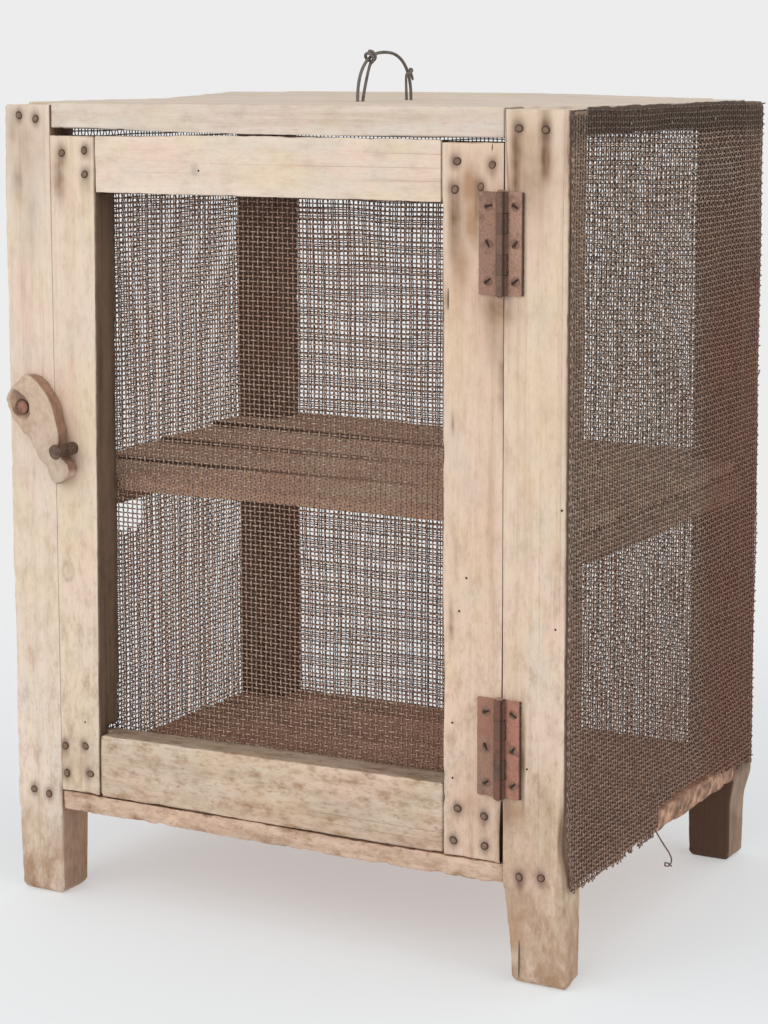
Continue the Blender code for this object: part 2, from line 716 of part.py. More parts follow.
def build_latch(body, door, latch):
    outline = [(PIVOT_X + x, PIVOT_HEIGHT + z) for x, z in smooth_loop(BUTTON_EDGE, BUTTON_STEPS)]
    shape = prism(outline, "y", BUTTON_FRONT, BUTTON_BACK)
    ease(shape, BUTTON_ROUNDING, segments=2, least_angle=60)
    button = add_piece("turn_button", shape, "pale_wood", latch)
    pivot = (PIVOT_X, BUTTON_FRONT, PIVOT_HEIGHT)
    bore_radius = PIVOT_SCREW_RADIUS + PIVOT_CLEARANCE
    recess = [
        (RECESS_RADIUS, -EASED_EDGE),
        (RECESS_RADIUS, 0.0),
        (RECESS_FLOOR_RADIUS, RECESS_DEPTH),
        (bore_radius, RECESS_DEPTH),
        (bore_radius, BUTTON_THICKNESS + EASED_EDGE),
    ]
    cut(button, "pivot_recess", turned(recess, 16, pivot, "y"), latch)
    head_back = RECESS_DEPTH - SEAT_GAP
    screw = [
        (0.0, head_back - PIVOT_HEAD_HEIGHT),
        (PIVOT_HEAD_RADIUS * 0.7, head_back - PIVOT_HEAD_HEIGHT * 0.85),
        (PIVOT_HEAD_RADIUS, head_back - PIVOT_HEAD_HEIGHT * 0.3),
        (PIVOT_HEAD_RADIUS, head_back),
        (PIVOT_SCREW_RADIUS, head_back),
        (PIVOT_SCREW_RADIUS, BUTTON_THICKNESS + SEAT_GAP + PIVOT_DEPTH_IN_POST - PIVOT_SCREW_RADIUS),
        (0.0, BUTTON_THICKNESS + SEAT_GAP + PIVOT_DEPTH_IN_POST),
    ]
    add_piece("turn_button_screw", turned(screw, 14, pivot, "y"), "rusty_steel", body)
    nail = [
        (0.0, -NAIL_REACH),
        (NAIL_HEAD_RADIUS * 0.75, -NAIL_REACH + NAIL_HEAD_HEIGHT * 0.25),
        (NAIL_HEAD_RADIUS, -NAIL_REACH + NAIL_HEAD_HEIGHT * 0.6),
        (NAIL_RADIUS, -NAIL_REACH + NAIL_HEAD_HEIGHT),
        (NAIL_RADIUS, NAIL_DEPTH_IN_STILE - 2 * NAIL_RADIUS),
        (0.0, NAIL_DEPTH_IN_STILE),
    ]
    add_piece("catch_nail", turned(nail, 14, (NAIL_X, FRONT, NAIL_Z), "y"), "rusty_steel", door)


def bail_point(share):
    """A place on the bail's arch, from 0 at its front foot to 1 at its back foot, and its direction."""
    middle = (BAIL_FRONT_FOOT + BAIL_BACK_FOOT) / 2
    half = (BAIL_BACK_FOOT - BAIL_FRONT_FOOT) / 2

    def spot(at):
        angle = math.pi * (1 - at)
        run = math.copysign(abs(math.cos(angle)) ** (2 / BAIL_SQUARENESS), math.cos(angle))
        rise = max(math.sin(angle), 0.0) ** (2 / BAIL_SQUARENESS)
        return Vector((HANDLE_X, middle + half * run, TOP_BOARD_TOP + BAIL_HEIGHT * rise))

    reach = 0.01
    way = (spot(min(share + reach, 1.0)) - spot(max(share - reach, 0.0))).normalized()
    return spot(share), way


def corner(before, at, after):
    """Three points that take a wire round a tight bend."""
    near = at + (before - at).normalized() * WIRE_BEND
    far = at + (after - at).normalized() * WIRE_BEND
    middle = near * 0.25 + far * 0.25 + at * 0.5
    return [near, middle, far]


def wire(name, points, carrier):
    curve = bpy.data.curves.new(name, "CURVE")
    curve.dimensions = "3D"
    curve.bevel_depth = WIRE_RADIUS
    curve.bevel_resolution = 2
    curve.use_fill_caps = True
    spline = curve.splines.new("POLY")
    spline.points.add(len(points) - 1)
    for spot, point in zip(spline.points, points):
        spot.co = (*point, 1.0)
    piece = bpy.data.objects.new(name, curve)
    bpy.context.collection.objects.link(piece)
    curve.materials.append(finish(name, "dark_wire"))
    carry(piece, carrier)


def wound(share, radius, rise, steps):
    """Points wound round the bail from its inner side, starting at a place on it."""
    points = []
    for i in range(steps + 1):
        angle = math.tau * i / STEPS_PER_TURN
        centre, way = bail_point(share)
        centre = centre + way * (rise * i / steps)
        inner = Vector((0.0, way.z, -way.y))
        sideways = Vector((1.0, 0.0, 0.0))
        points.append(centre + radius * (math.cos(angle) * inner + math.sin(angle) * sideways))
    return points


def build_handle(carrier):
    under = TOP_BOARD_UNDER - SEAT_GAP - WIRE_RADIUS

    def foot(y):
        return Vector((HANDLE_X, y, under))

    front_end = foot(BAIL_FRONT_FOOT - CLINCH_LENGTH)
    back_end = foot(BAIL_BACK_FOOT + CLINCH_LENGTH)
    arch = [bail_point(i / BAIL_STEPS)[0] for i in range(BAIL_STEPS + 1)]
    bail = [front_end, *corner(front_end, foot(BAIL_FRONT_FOOT), arch[0]), *arch]
    bail += [*corner(arch[-1], foot(BAIL_BACK_FOOT), back_end), back_end]
    wire("handle_bail", bail, carrier)

    hook_share = HOOK_BAIL_STEP / BAIL_STEPS
    eye = wound(EYE_BAIL_STEP / BAIL_STEPS, EYE_RADIUS, EYE_RISE, EYE_STEPS)
    hook = wound(hook_share, HOOK_RADIUS, 0.0, STEPS_PER_TURN // 2)
    front_rise = Vector((HANDLE_X, TIE_FRONT_FOOT, TOP_BOARD_TOP))
    back_rise = Vector((HANDLE_X, TIE_BACK_FOOT, TOP_BOARD_TOP))
    tail = hook[-1] + bail_point(hook_share)[1] * TAIL_LENGTH
    tie = list(reversed(eye))
    tie += [front_rise, *corner(front_rise, foot(TIE_FRONT_FOOT), foot(TIE_BACK_FOOT))]
    tie += [*corner(foot(TIE_FRONT_FOOT), foot(TIE_BACK_FOOT), back_rise), back_rise]
    tie += [*hook, tail]
    wire("handle_tie_wire", tie, carrier)


def main():
    clear_scene()
    body = axis_empty("food_safe", (0.0, CENTRE_SHIFT, 0.0))
    door = axis_empty("door_hinge_axis", (HINGE_X, HINGE_Y, DOOR_BOTTOM), body)
    latch = axis_empty("turn_button_axis", (PIVOT_X, BUTTON_BACK, PIVOT_HEIGHT), body)
    build_posts(body)
    build_boards(body)
    build_shelf(body)
    build_wall_nets(body)
    build_handle(body)
    build_door_frame(door)
    build_door_net(door)
    build_hinges(body, door)
    build_latch(body, door, latch)


main()
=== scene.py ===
"""Dresses the plain solids of a wire-net food safe with worn timber, woven gauze and rusty iron."""

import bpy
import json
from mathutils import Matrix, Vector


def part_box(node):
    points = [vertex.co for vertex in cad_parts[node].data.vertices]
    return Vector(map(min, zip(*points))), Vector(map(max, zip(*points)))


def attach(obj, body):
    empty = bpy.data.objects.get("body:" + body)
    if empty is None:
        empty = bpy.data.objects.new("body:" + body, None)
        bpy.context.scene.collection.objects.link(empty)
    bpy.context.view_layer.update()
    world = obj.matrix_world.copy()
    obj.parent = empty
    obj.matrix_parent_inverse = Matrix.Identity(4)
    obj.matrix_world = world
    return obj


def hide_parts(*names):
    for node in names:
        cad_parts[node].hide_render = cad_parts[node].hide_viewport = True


bl_info = {
    "name": "Food Safe Dresser",
    "version": (1, 0, 0),
    "blender": (4, 5, 0),
    "location": "View3D > Sidebar > Food Safe",
    "description": "Worn timber, woven gauze and rusty iron for a small larder cupboard",
    "category": "Object",
}

import json
import math

import bpy
import numpy as np
from mathutils import Matrix, Vector

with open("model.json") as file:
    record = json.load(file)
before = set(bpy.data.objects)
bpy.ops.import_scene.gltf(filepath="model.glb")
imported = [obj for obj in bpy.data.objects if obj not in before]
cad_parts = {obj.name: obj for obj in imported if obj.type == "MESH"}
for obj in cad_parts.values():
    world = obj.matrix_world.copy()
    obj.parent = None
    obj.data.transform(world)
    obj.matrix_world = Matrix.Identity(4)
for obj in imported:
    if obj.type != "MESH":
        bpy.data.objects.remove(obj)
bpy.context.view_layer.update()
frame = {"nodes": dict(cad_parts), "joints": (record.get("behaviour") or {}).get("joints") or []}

# Places that follow from the frame
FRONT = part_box("front_left_post")[0].y
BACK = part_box("back_left_post")[1].y
HINGE_X = (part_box("upper_hinge_pin")[0].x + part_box("upper_hinge_pin")[1].x) / 2
PIVOT = Vector(next(j["pos_m"] for j in frame["joints"] if j["name"] == "latch_turn"))
FOOT_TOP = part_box("bottom_board")[0].z

# Nails that show on the front, as (x, z, length of the rust run under it, strength of the run)
POST_NAILS = (
    (-0.1817, 0.4979, 0.004, 0.5),
    (-0.1691, 0.4958, 0.005, 0.4),
    (0.1629, 0.4939, 0.030, 0.75),
    (0.1793, 0.4933, 0.020, 0.85),
    (-0.1808, 0.0675, 0.004, 0.4),
    (-0.1691, 0.0660, 0.004, 0.4),
    (0.1654, 0.0642, 0.008, 0.7),
    (0.1794, 0.0658, 0.005, 0.5),
)
DOOR_NAILS = (
    (-0.1496, 0.4751, 0.014, 0.6),
    (-0.1328, 0.4770, 0.004, 0.4),
    (-0.1327, 0.4624, 0.004, 0.4),
    (0.1243, 0.4751, 0.004, 0.4),
    (0.1465, 0.4735, 0.008, 0.5),
    (0.1230, 0.4592, 0.034, 0.8),
    (0.1395, 0.4611, 0.008, 0.8),
    (-0.1555, 0.0994, 0.008, 0.6),
    (-0.1396, 0.1013, 0.004, 0.5),
    (-0.1546, 0.0817, 0.006, 0.6),
    (-0.1361, 0.0836, 0.004, 0.5),
    (0.1254, 0.0993, 0.004, 0.5),
    (0.1427, 0.0971, 0.006, 0.5),
    (0.1227, 0.0797, 0.004, 0.5),
    (0.1431, 0.0794, 0.004, 0.5),
)
# Knots in the front, as (x, z, radius)
KNOTS = ((-0.1508, 0.2130, 0.0044), (-0.0521, 0.4668, 0.0016))

# Brown marks on the front, as (x, z, half width, half height, strength): rust smears, with the painted
# shadows and seam lines noted below
SMEARS_AND_SHADOWS = (
    (0.1258, 0.4450, 0.0030, 0.0200, 0.62),
    (0.1372, 0.4510, 0.0013, 0.0160, 0.85),
    (0.1612, 0.4760, 0.0030, 0.0240, 1.20),
    (0.1792, 0.4830, 0.0038, 0.0190, 1.30),
    (0.1700, 0.4720, 0.0150, 0.0240, 0.34),
    (0.1500, 0.3940, 0.0110, 0.0100, 0.75),
    (0.1480, 0.3740, 0.0070, 0.0180, 0.30),
    # This row and the next, narrow and long, darken the seam between the door and the right post.
    (0.1522, 0.3560, 0.0013, 0.0260, 0.80),
    (0.1540, 0.2700, 0.0011, 0.0500, 0.40),
    (0.1186, 0.3970, 0.0010, 0.0070, 0.80),
    (0.1215, 0.2100, 0.0013, 0.0130, 0.70),
    (0.1226, 0.3254, 0.0012, 0.0060, 0.70),
    (0.1245, 0.2500, 0.0014, 0.0110, 0.50),
    (0.1560, 0.1010, 0.0050, 0.0100, 0.55),
    # Painted shadow cast on the post beside the lower hinge's raised leaf.
    (0.1675, 0.1330, 0.0013, 0.0290, 1.10),
    (0.1790, 0.1050, 0.0100, 0.0300, 0.20),
    (0.1640, 0.1400, 0.0080, 0.0400, 0.18),
    # A narrow row that darkens the seam near the foot of the door.
    (0.1530, 0.0880, 0.0016, 0.0220, 1.10),
    # Painted shadow in the gap between the right post's worn edge and the edge of the gauze.
    (0.1922, 0.0960, 0.0016, 0.0190, 1.10),
    (0.1925, 0.4800, 0.0014, 0.0240, 0.80),
    (0.1928, 0.3300, 0.0010, 0.0900, 0.40),
    (-0.1835, 0.4578, 0.0040, 0.0120, 0.50),
    (-0.1870, 0.4900, 0.0040, 0.0140, 0.40),
    (-0.1770, 0.4800, 0.0180, 0.0220, 0.20),
    (-0.1730, 0.4350, 0.0050, 0.0300, 0.20),
    (-0.1520, 0.4600, 0.0042, 0.0150, 0.85),
    (-0.1330, 0.4570, 0.0040, 0.0090, 0.40),
    (-0.1640, 0.3050, 0.0050, 0.0160, 0.20),
    (-0.1440, 0.0910, 0.0120, 0.0100, 0.25),
    (-0.1595, 0.0700, 0.0012, 0.0090, 1.00),
    (0.0400, 0.0850, 0.0300, 0.0090, 0.18),
    (-0.0500, 0.0980, 0.0400, 0.0060, 0.16),
    (0.0900, 0.1010, 0.0200, 0.0060, 0.22),
)
# Orange stains beside the hinges, in the same form
BLUSHES = (
    (0.1335, 0.4610, 0.0058, 0.0130, 1.20),
    (0.1345, 0.4430, 0.0055, 0.0160, 1.10),
    (0.1275, 0.4180, 0.0062, 0.0190, 0.90),
    (0.1500, 0.3870, 0.0100, 0.0130, 0.55),
    (0.1700, 0.4680, 0.0160, 0.0260, 0.45),
    (0.1620, 0.1035, 0.0055, 0.0080, 0.85),
    (0.1350, 0.1035, 0.0080, 0.0070, 0.40),
    (-0.1480, 0.2910, 0.0100, 0.0300, 0.25),
    (-0.1760, 0.4750, 0.0150, 0.0300, 0.25),
    (-0.1600, 0.0300, 0.0080, 0.0140, 0.30),
    (0.1640, 0.0290, 0.0060, 0.0120, 0.60),
)
# Worm holes in the front, as (x, z, body), drawn as dark discs that paint the shade inside each hole
WORM_HOLES = (
    (0.1261, 0.2168, "door"),
    (0.1307, 0.2366, "door"),
    (0.1218, 0.1502, "door"),
    (0.1220, 0.1172, "door"),
    (-0.0495, 0.4662, "door"),
    (-0.1398, 0.1168, "door"),
    (0.1873, 0.2125, "cabinet"),
    (0.1907, 0.2811, "cabinet"),
    (0.1700, 0.1290, "cabinet"),
)
# Thin cracks in the front, as (x, z, length, body), drawn as dark slits that paint the shade inside each
# crack
SLITS = (
    (0.1186, 0.3970, 0.0130, "door"),
    (0.1463, 0.4808, 0.0095, "door"),
    (0.1466, 0.4650, 0.0130, "door"),
    (0.1656, 0.0145, 0.0250, "cabinet"),
)
# Tacks that hold the side gauzes, as (distance behind the front, height)
SIDE_TACKS = (
    (0.0151, 0.4930),
    (0.0796, 0.4952),
    (0.1407, 0.4944),
    (0.2100, 0.4950),
    (0.0032, 0.4319),
    (0.0035, 0.3350),
    (0.0030, 0.2200),
    (0.0036, 0.1200),
    (0.2850, 0.3950),
    (0.2840, 0.2350),
    (0.2850, 0.1100),
    (0.1700, 0.0650),
    (0.2200, 0.0655),
)


# Shelf slats from the front, as (lightness, lift of the left end, lift of the right end)
SLATS = (
    (1.10, 0.0, 0.0),
    (1.00, 0.0018, 0.0002),
    (1.06, 0.0040, 0.0005),
    (0.95, 0.0062, 0.0010),
)

# What wear and warping add to the timbers or take off them
BACK_FOOT_SLIMMER = 0.0025
BACK_FOOT_THINNER = 0.004
LEFT_FOOT_DEEPER = 0.005
RIGHT_POST_BITE = 0.0026
RIGHT_POST_WORN = 0.0018
RIGHT_STILE_WORN = 0.0024
NOTCH_FILL = 0.0019
TOP_BOARD_LIFT = 0.0031
LEFT_CLEAT_RISE = 0.0060
LEFT_CLEAT_DEEPER = 0.0065
BOTTOM_RAIL_DROP = 0.0030
# How far the stiles' inner edges lean, at the foot and at the head
LEFT_STILE_LEAN = (-0.0029, 0.0010)
RIGHT_STILE_LEAN = (0.0, -0.0017)

# Keywords that like settings share
COLOUR = {"subtype": "COLOR", "size": 3}
PITCH = {"description": "Wire spacing across and up", "unit": "LENGTH", "size": 2}


class TimberSettings(bpy.types.PropertyGroup):
    """Colours of the timber, and the spacing of its mesh."""

    pale: bpy.props.FloatVectorProperty(
        name="Pale wood", description="Bare wood on the faces", default=(0.72, 0.600, 0.495), **COLOUR
    )
    pink: bpy.props.FloatVectorProperty(
        name="Pink wood", description="Pinkish patches", default=(0.74, 0.575, 0.475), **COLOUR
    )
    straw: bpy.props.FloatVectorProperty(
        name="Straw wood", description="Yellowish patches", default=(0.71, 0.585, 0.435), **COLOUR
    )
    grey: bpy.props.FloatVectorProperty(
        name="Grey wood", description="Greyed patches", default=(0.66, 0.585, 0.495), **COLOUR
    )
    light: bpy.props.FloatVectorProperty(
        name="Light wood", description="Palest streaks and arrises", default=(0.80, 0.690, 0.585), **COLOUR
    )
    dark: bpy.props.FloatVectorProperty(
        name="Dark grain", description="Darkest streaks of the grain", default=(0.50, 0.355, 0.245), **COLOUR
    )
    grime: bpy.props.FloatVectorProperty(
        name="Grime", description="Dirt on the feet and lower rails", default=(0.33, 0.195, 0.110), **COLOUR
    )
    # Colour of the brown smears round the hinges, also used for painted shadows beside a hinge leaf, by the
    # gauze's edge and in the turn button's hollow.
    smear_and_shadow: bpy.props.FloatVectorProperty(
        name="Smear", description="Brown smears round the hinges", default=(0.165, 0.085, 0.042), **COLOUR
    )
    blush: bpy.props.FloatVectorProperty(
        name="Blush", description="Orange stain beside the hinges", default=(0.430, 0.265, 0.165), **COLOUR
    )
    # Colour of the rust round the nails, also used for painted shade: on the fronts of the back feet, between
    # the shelf slats, in the turn button's hollow, and in thin checks, worm holes and cracks.
    rust_run_and_shade: bpy.props.FloatVectorProperty(
        name="Rust run", description="Stain round the nails", default=(0.13, 0.075, 0.050), **COLOUR
    )
    board_brown: bpy.props.FloatVectorProperty(
        name="Brown board", description="Inside of the bottom board", default=(0.660, 0.385, 0.262), **COLOUR
    )
    slat_brown: bpy.props.FloatVectorProperty(
        name="Brown slat", description="Shelf slats and cleats", default=(0.900, 0.570, 0.390), **COLOUR
    )
    shade_brown: bpy.props.FloatVectorProperty(
        name="Brown inside", description="Inside of posts and door", default=(0.36, 0.225, 0.145), **COLOUR
    )
    # Brown of the back posts: partly browned wood, partly painted shade.
    deep_brown: bpy.props.FloatVectorProperty(
        name="Deep brown", description="Faces of the back posts", default=(0.19, 0.118, 0.084), **COLOUR
    )
    cut_spacing: bpy.props.FloatProperty(
        name="Cut spacing", description="Mesh spacing along the timbers", unit="LENGTH", default=0.0024
    )
    fine_spacing: bpy.props.FloatProperty(
        name="Fine spacing", description="Mesh spacing round the nails", unit="LENGTH", default=0.0013
    )


class GauzeSettings(bpy.types.PropertyGroup):
    """Wire and weave of the gauze."""

    wire: bpy.props.FloatProperty(
        name="Wire", description="Diameter of the woven wire", unit="LENGTH", default=0.00090
    )
    door_pitch: bpy.props.FloatVectorProperty(
        name="Door pitch", default=(0.0035, 0.0030), **PITCH
    )
    side_pitch: bpy.props.FloatVectorProperty(
        name="Side pitch", default=(0.0034, 0.0033), **PITCH
    )
    back_pitch: bpy.props.FloatVectorProperty(
        name="Back pitch", default=(0.00315, 0.0030), **PITCH
    )
    brown: bpy.props.FloatVectorProperty(
        name="Brown", description="Dull wire", default=(0.165, 0.112, 0.084), **COLOUR
    )
    rust: bpy.props.FloatVectorProperty(
        name="Rust", description="Rusty wire", default=(0.225, 0.098, 0.067), **COLOUR
    )
    # Grey of bare wire, which the material lays only on the crests of the weave, as a painted highlight.
    grey: bpy.props.FloatVectorProperty(
        name="Grey", description="Wire that is still grey", default=(0.43, 0.325, 0.255), **COLOUR
    )
    tack: bpy.props.FloatVectorProperty(
        name="Tack", description="Tack heads", default=(0.30, 0.24, 0.20), **COLOUR
    )


class IronSettings(bpy.types.PropertyGroup):
    """Hinges, nails, screws and handle wire."""

    hinge: bpy.props.FloatVectorProperty(
        name="Hinge", description="Dull brown hinge iron", default=(0.33, 0.195, 0.140), **COLOUR
    )
    red_hinge: bpy.props.FloatVectorProperty(
        name="Red hinge", description="The redder lower leaf", default=(0.400, 0.190, 0.135), **COLOUR
    )
    nail: bpy.props.FloatVectorProperty(
        name="Nail", description="Nail and screw heads", default=(0.235, 0.148, 0.102), **COLOUR
    )
    catch: bpy.props.FloatVectorProperty(
        name="Catch nail", description="The big nail in the door", default=(0.10, 0.062, 0.042), **COLOUR
    )
    wire: bpy.props.FloatVectorProperty(
        name="Handle wire", description="Grey wire of the handle", default=(0.16, 0.145, 0.130), **COLOUR
    )


class StageSettings(bpy.types.PropertyGroup):
    """Floor, background and lamps."""

    background: bpy.props.FloatProperty(
        name="Background", description="Grey level behind the cupboard", default=0.845, min=0.0, max=1.0
    )
    floor: bpy.props.FloatVectorProperty(
        name="Floor", description="Colour of the floor", default=(0.50, 0.53, 0.55), **COLOUR
    )
    glow: bpy.props.FloatProperty(
        name="Glow", description="Light that comes up through the floor", default=0.36, min=0.0
    )
    ambient: bpy.props.FloatProperty(
        name="Ambient", description="Even light from all round", default=0.80, min=0.0
    )
    key: bpy.props.FloatProperty(
        name="Key", description="Power of the large front lamp", unit="POWER", default=22.0
    )
    fill: bpy.props.FloatProperty(
        name="Fill", description="Power of the lamp on the right", unit="POWER", default=10.0
    )


def pick(*pieces):
    """Selects these objects alone and makes the first one active."""
    bpy.ops.object.select_all(action="DESELECT")
    for piece in pieces:
        piece.select_set(True)
    bpy.context.view_layer.objects.active = pieces[0]


def edit(piece):
    pick(piece)
    bpy.ops.object.mode_set(mode="EDIT")
    bpy.ops.mesh.select_all(action="SELECT")


def leave_edit():
    bpy.ops.object.mode_set(mode="OBJECT")


def finish_with(piece, kind, **settings):
    """Adds a modifier with these settings and applies it."""
    pick(piece)
    bpy.ops.object.modifier_add(type=kind)
    modifier = piece.modifiers[-1]
    for setting, value in settings.items():
        setattr(modifier, setting, value)
    bpy.ops.object.modifier_apply(modifier=modifier.name)


def smooth(piece):
    pick(piece)
    bpy.ops.object.shade_smooth()


def smooth_by_angle(piece, degrees):
    pick(piece)
    bpy.ops.object.shade_smooth_by_angle(angle=math.radians(degrees))


def started(name, add, **settings):
    """Adds a primitive under a name, with its place in its mesh."""
    bpy.ops.object.select_all(action="DESELECT")
    add(**settings)
    piece = bpy.context.active_object
    piece.name = name
    bpy.ops.object.transform_apply(location=True, rotation=True, scale=True)
    return piece


def copy_of(node, name):
    """A merged copy of a CAD node, to be worked into a finished piece."""
    piece = bpy.data.objects.new(name, frame["nodes"][node].data.copy())
    bpy.context.collection.objects.link(piece)
    piece.data.materials.clear()
    edit(piece)
    bpy.ops.mesh.remove_doubles(threshold=0.00001)
    bpy.ops.mesh.customdata_custom_splitnormals_clear()
    leave_edit()
    return piece


def dress(piece, body, slot, material, *nodes):
    """Gives a finished piece its material and body, and hides the CAD nodes that it stands for. slot is not
    used.
    """
    piece.data.materials.clear()
    piece.data.materials.append(material)
    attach(piece, body)
    if nodes:
        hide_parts(*nodes)


def points_of(piece, what="co"):
    values = np.empty(len(piece.data.vertices) * 3, np.float32)
    piece.data.vertices.foreach_get(what, values)
    return values.reshape(-1, 3).astype(float)


def move_points(piece, spots):
    piece.data.vertices.foreach_set("co", spots.astype(np.float32).ravel())
    piece.data.update()


def paint(piece, name, values):
    """Stores a number on every point, for the material to read."""
    attribute = piece.data.attributes.get(name) or piece.data.attributes.new(name, "FLOAT", "POINT")
    attribute.data.foreach_set("value", np.clip(values, 0, 1).astype(np.float32))


def swell(spots, wavelength, seed, waves=14):
    """A smooth random field over points, with a spread of about 1."""
    draw = np.random.default_rng(seed)
    total = np.zeros(len(spots))
    for _ in range(waves):
        way = draw.normal(size=3)
        way *= math.tau / wavelength * draw.uniform(0.6, 1.6) / np.linalg.norm(way)
        total += np.sin(spots @ way + draw.uniform(0, math.tau))
    return total / math.sqrt(waves / 2)


def ramp_up(values, low, high):
    """0 below low, 1 above high, smooth between."""
    share = np.clip((values - low) / (high - low), 0, 1)
    return share * share * (3 - 2 * share)


def near(gaps, reach):
    """1 where a gap is 0, falling smoothly to almost nothing at twice the reach."""
    return np.exp(-((gaps / reach) ** 2))


def shifted(spots, x=0.0, y=0.0, z=0.0):
    """The points, moved along each axis by one amount or by an amount for each."""
    moved = spots.copy()
    for axis, amount in enumerate((x, y, z)):
        moved[:, axis] += amount
    return moved


class NodeTable:
    """Lays out the shader nodes of one tree."""

    def __init__(self, tree):
        self.tree = tree

    def node(self, kind, inputs=None, **settings):
        node = self.tree.nodes.new(kind)
        for key, value in settings.items():
            setattr(node, key, value)
        for key, value in (inputs or {}).items():
            self.feed(node.inputs[key], value)
        return node

    def feed(self, socket, value):
        if isinstance(value, bpy.types.NodeSocket):
            self.tree.links.new(value, socket)
        elif socket.type == "RGBA" and len(value) == 3:
            socket.default_value = (*value, 1.0)
        else:
            socket.default_value = value

    def calc(self, operation, first, second=0.0):
        return self.node("ShaderNodeMath", {0: first, 1: second}, operation=operation).outputs[0]

    def mix_shaders(self, share, first, second, output):
        blend = self.node("ShaderNodeMixShader", {0: share, 1: first.outputs[0], 2: second.outputs[0]})
        self.feed(self.tree.nodes[output].inputs["Surface"], blend.outputs[0])


class Paintbox(NodeTable):
    """Lays out one material. shift moves its noise, so that no two timbers share a pattern."""

    def __init__(self, name, shift=0.0):
        self.material = bpy.data.materials.new(name)
        self.material.use_nodes = True
        super().__init__(self.material.node_tree)
        self.shader = self.tree.nodes["Principled BSDF"]
        self.coords = self.node("ShaderNodeTexCoord").outputs["Object"]
        self.shift = shift

    def noise(self, scale, detail=2.0, stretch=(1, 1, 1), roughness=0.5, distortion=0.0, offset=(0, 0, 0)):
        offset = [part + self.shift for part in offset]
        place = self.node("ShaderNodeMapping", {"Vector": self.coords, "Scale": stretch, "Location": offset})
        look = {"Scale": scale, "Detail": detail, "Roughness": roughness, "Distortion": distortion}
        return self.node("ShaderNodeTexNoise", {"Vector": place.outputs[0], **look}).outputs["Fac"]

    def fit(self, value, low, high, to_low=0.0, to_high=1.0):
        inputs = {"Value": value, "From Min": low, "From Max": high, "To Min": to_low, "To Max": to_high}
        return self.node("ShaderNodeMapRange", inputs, interpolation_type="SMOOTHSTEP").outputs["Result"]

    def mix(self, share, first, second):
        return self.node("ShaderNodeMix", {0: share, 6: first, 7: second}, data_type="RGBA").outputs[2]

    def tones(self, value, *stops):
        node = self.node("ShaderNodeValToRGB", {"Fac": value})
        ramp = node.color_ramp
        while len(ramp.elements) < len(stops):
            ramp.elements.new(1.0)
        for element, (place, colour) in zip(ramp.elements, stops):
            element.position = place
            element.color = (*colour, 1.0)
        return node.outputs["Color"]

    def painted(self, name):
        return self.node("ShaderNodeAttribute", attribute_name=name).outputs["Fac"]

    def place(self, axis):
        return self.node("ShaderNodeSeparateXYZ", {"Vector": self.coords}).outputs[axis]

    def finish(self, colour, roughness, bump=None, strength=0.3, distance=0.0004, metallic=0.0, specular=0.3):
        looks = {"Base Color": colour, "Roughness": roughness, "Metallic": metallic}
        looks["Specular IOR Level"] = specular
        if bump is not None:
            relief = self.node("ShaderNodeBump", {"Height": bump, "Strength": strength, "Distance": distance})
            looks["Normal"] = relief.outputs["Normal"]
        for key, value in looks.items():
            self.feed(self.shader.inputs[key], value)
        return self.material


def dim(colour, share):
    """A colour made darker, or lighter where share is above 1."""
    return tuple(min(part * share, 1.0) for part in colour)


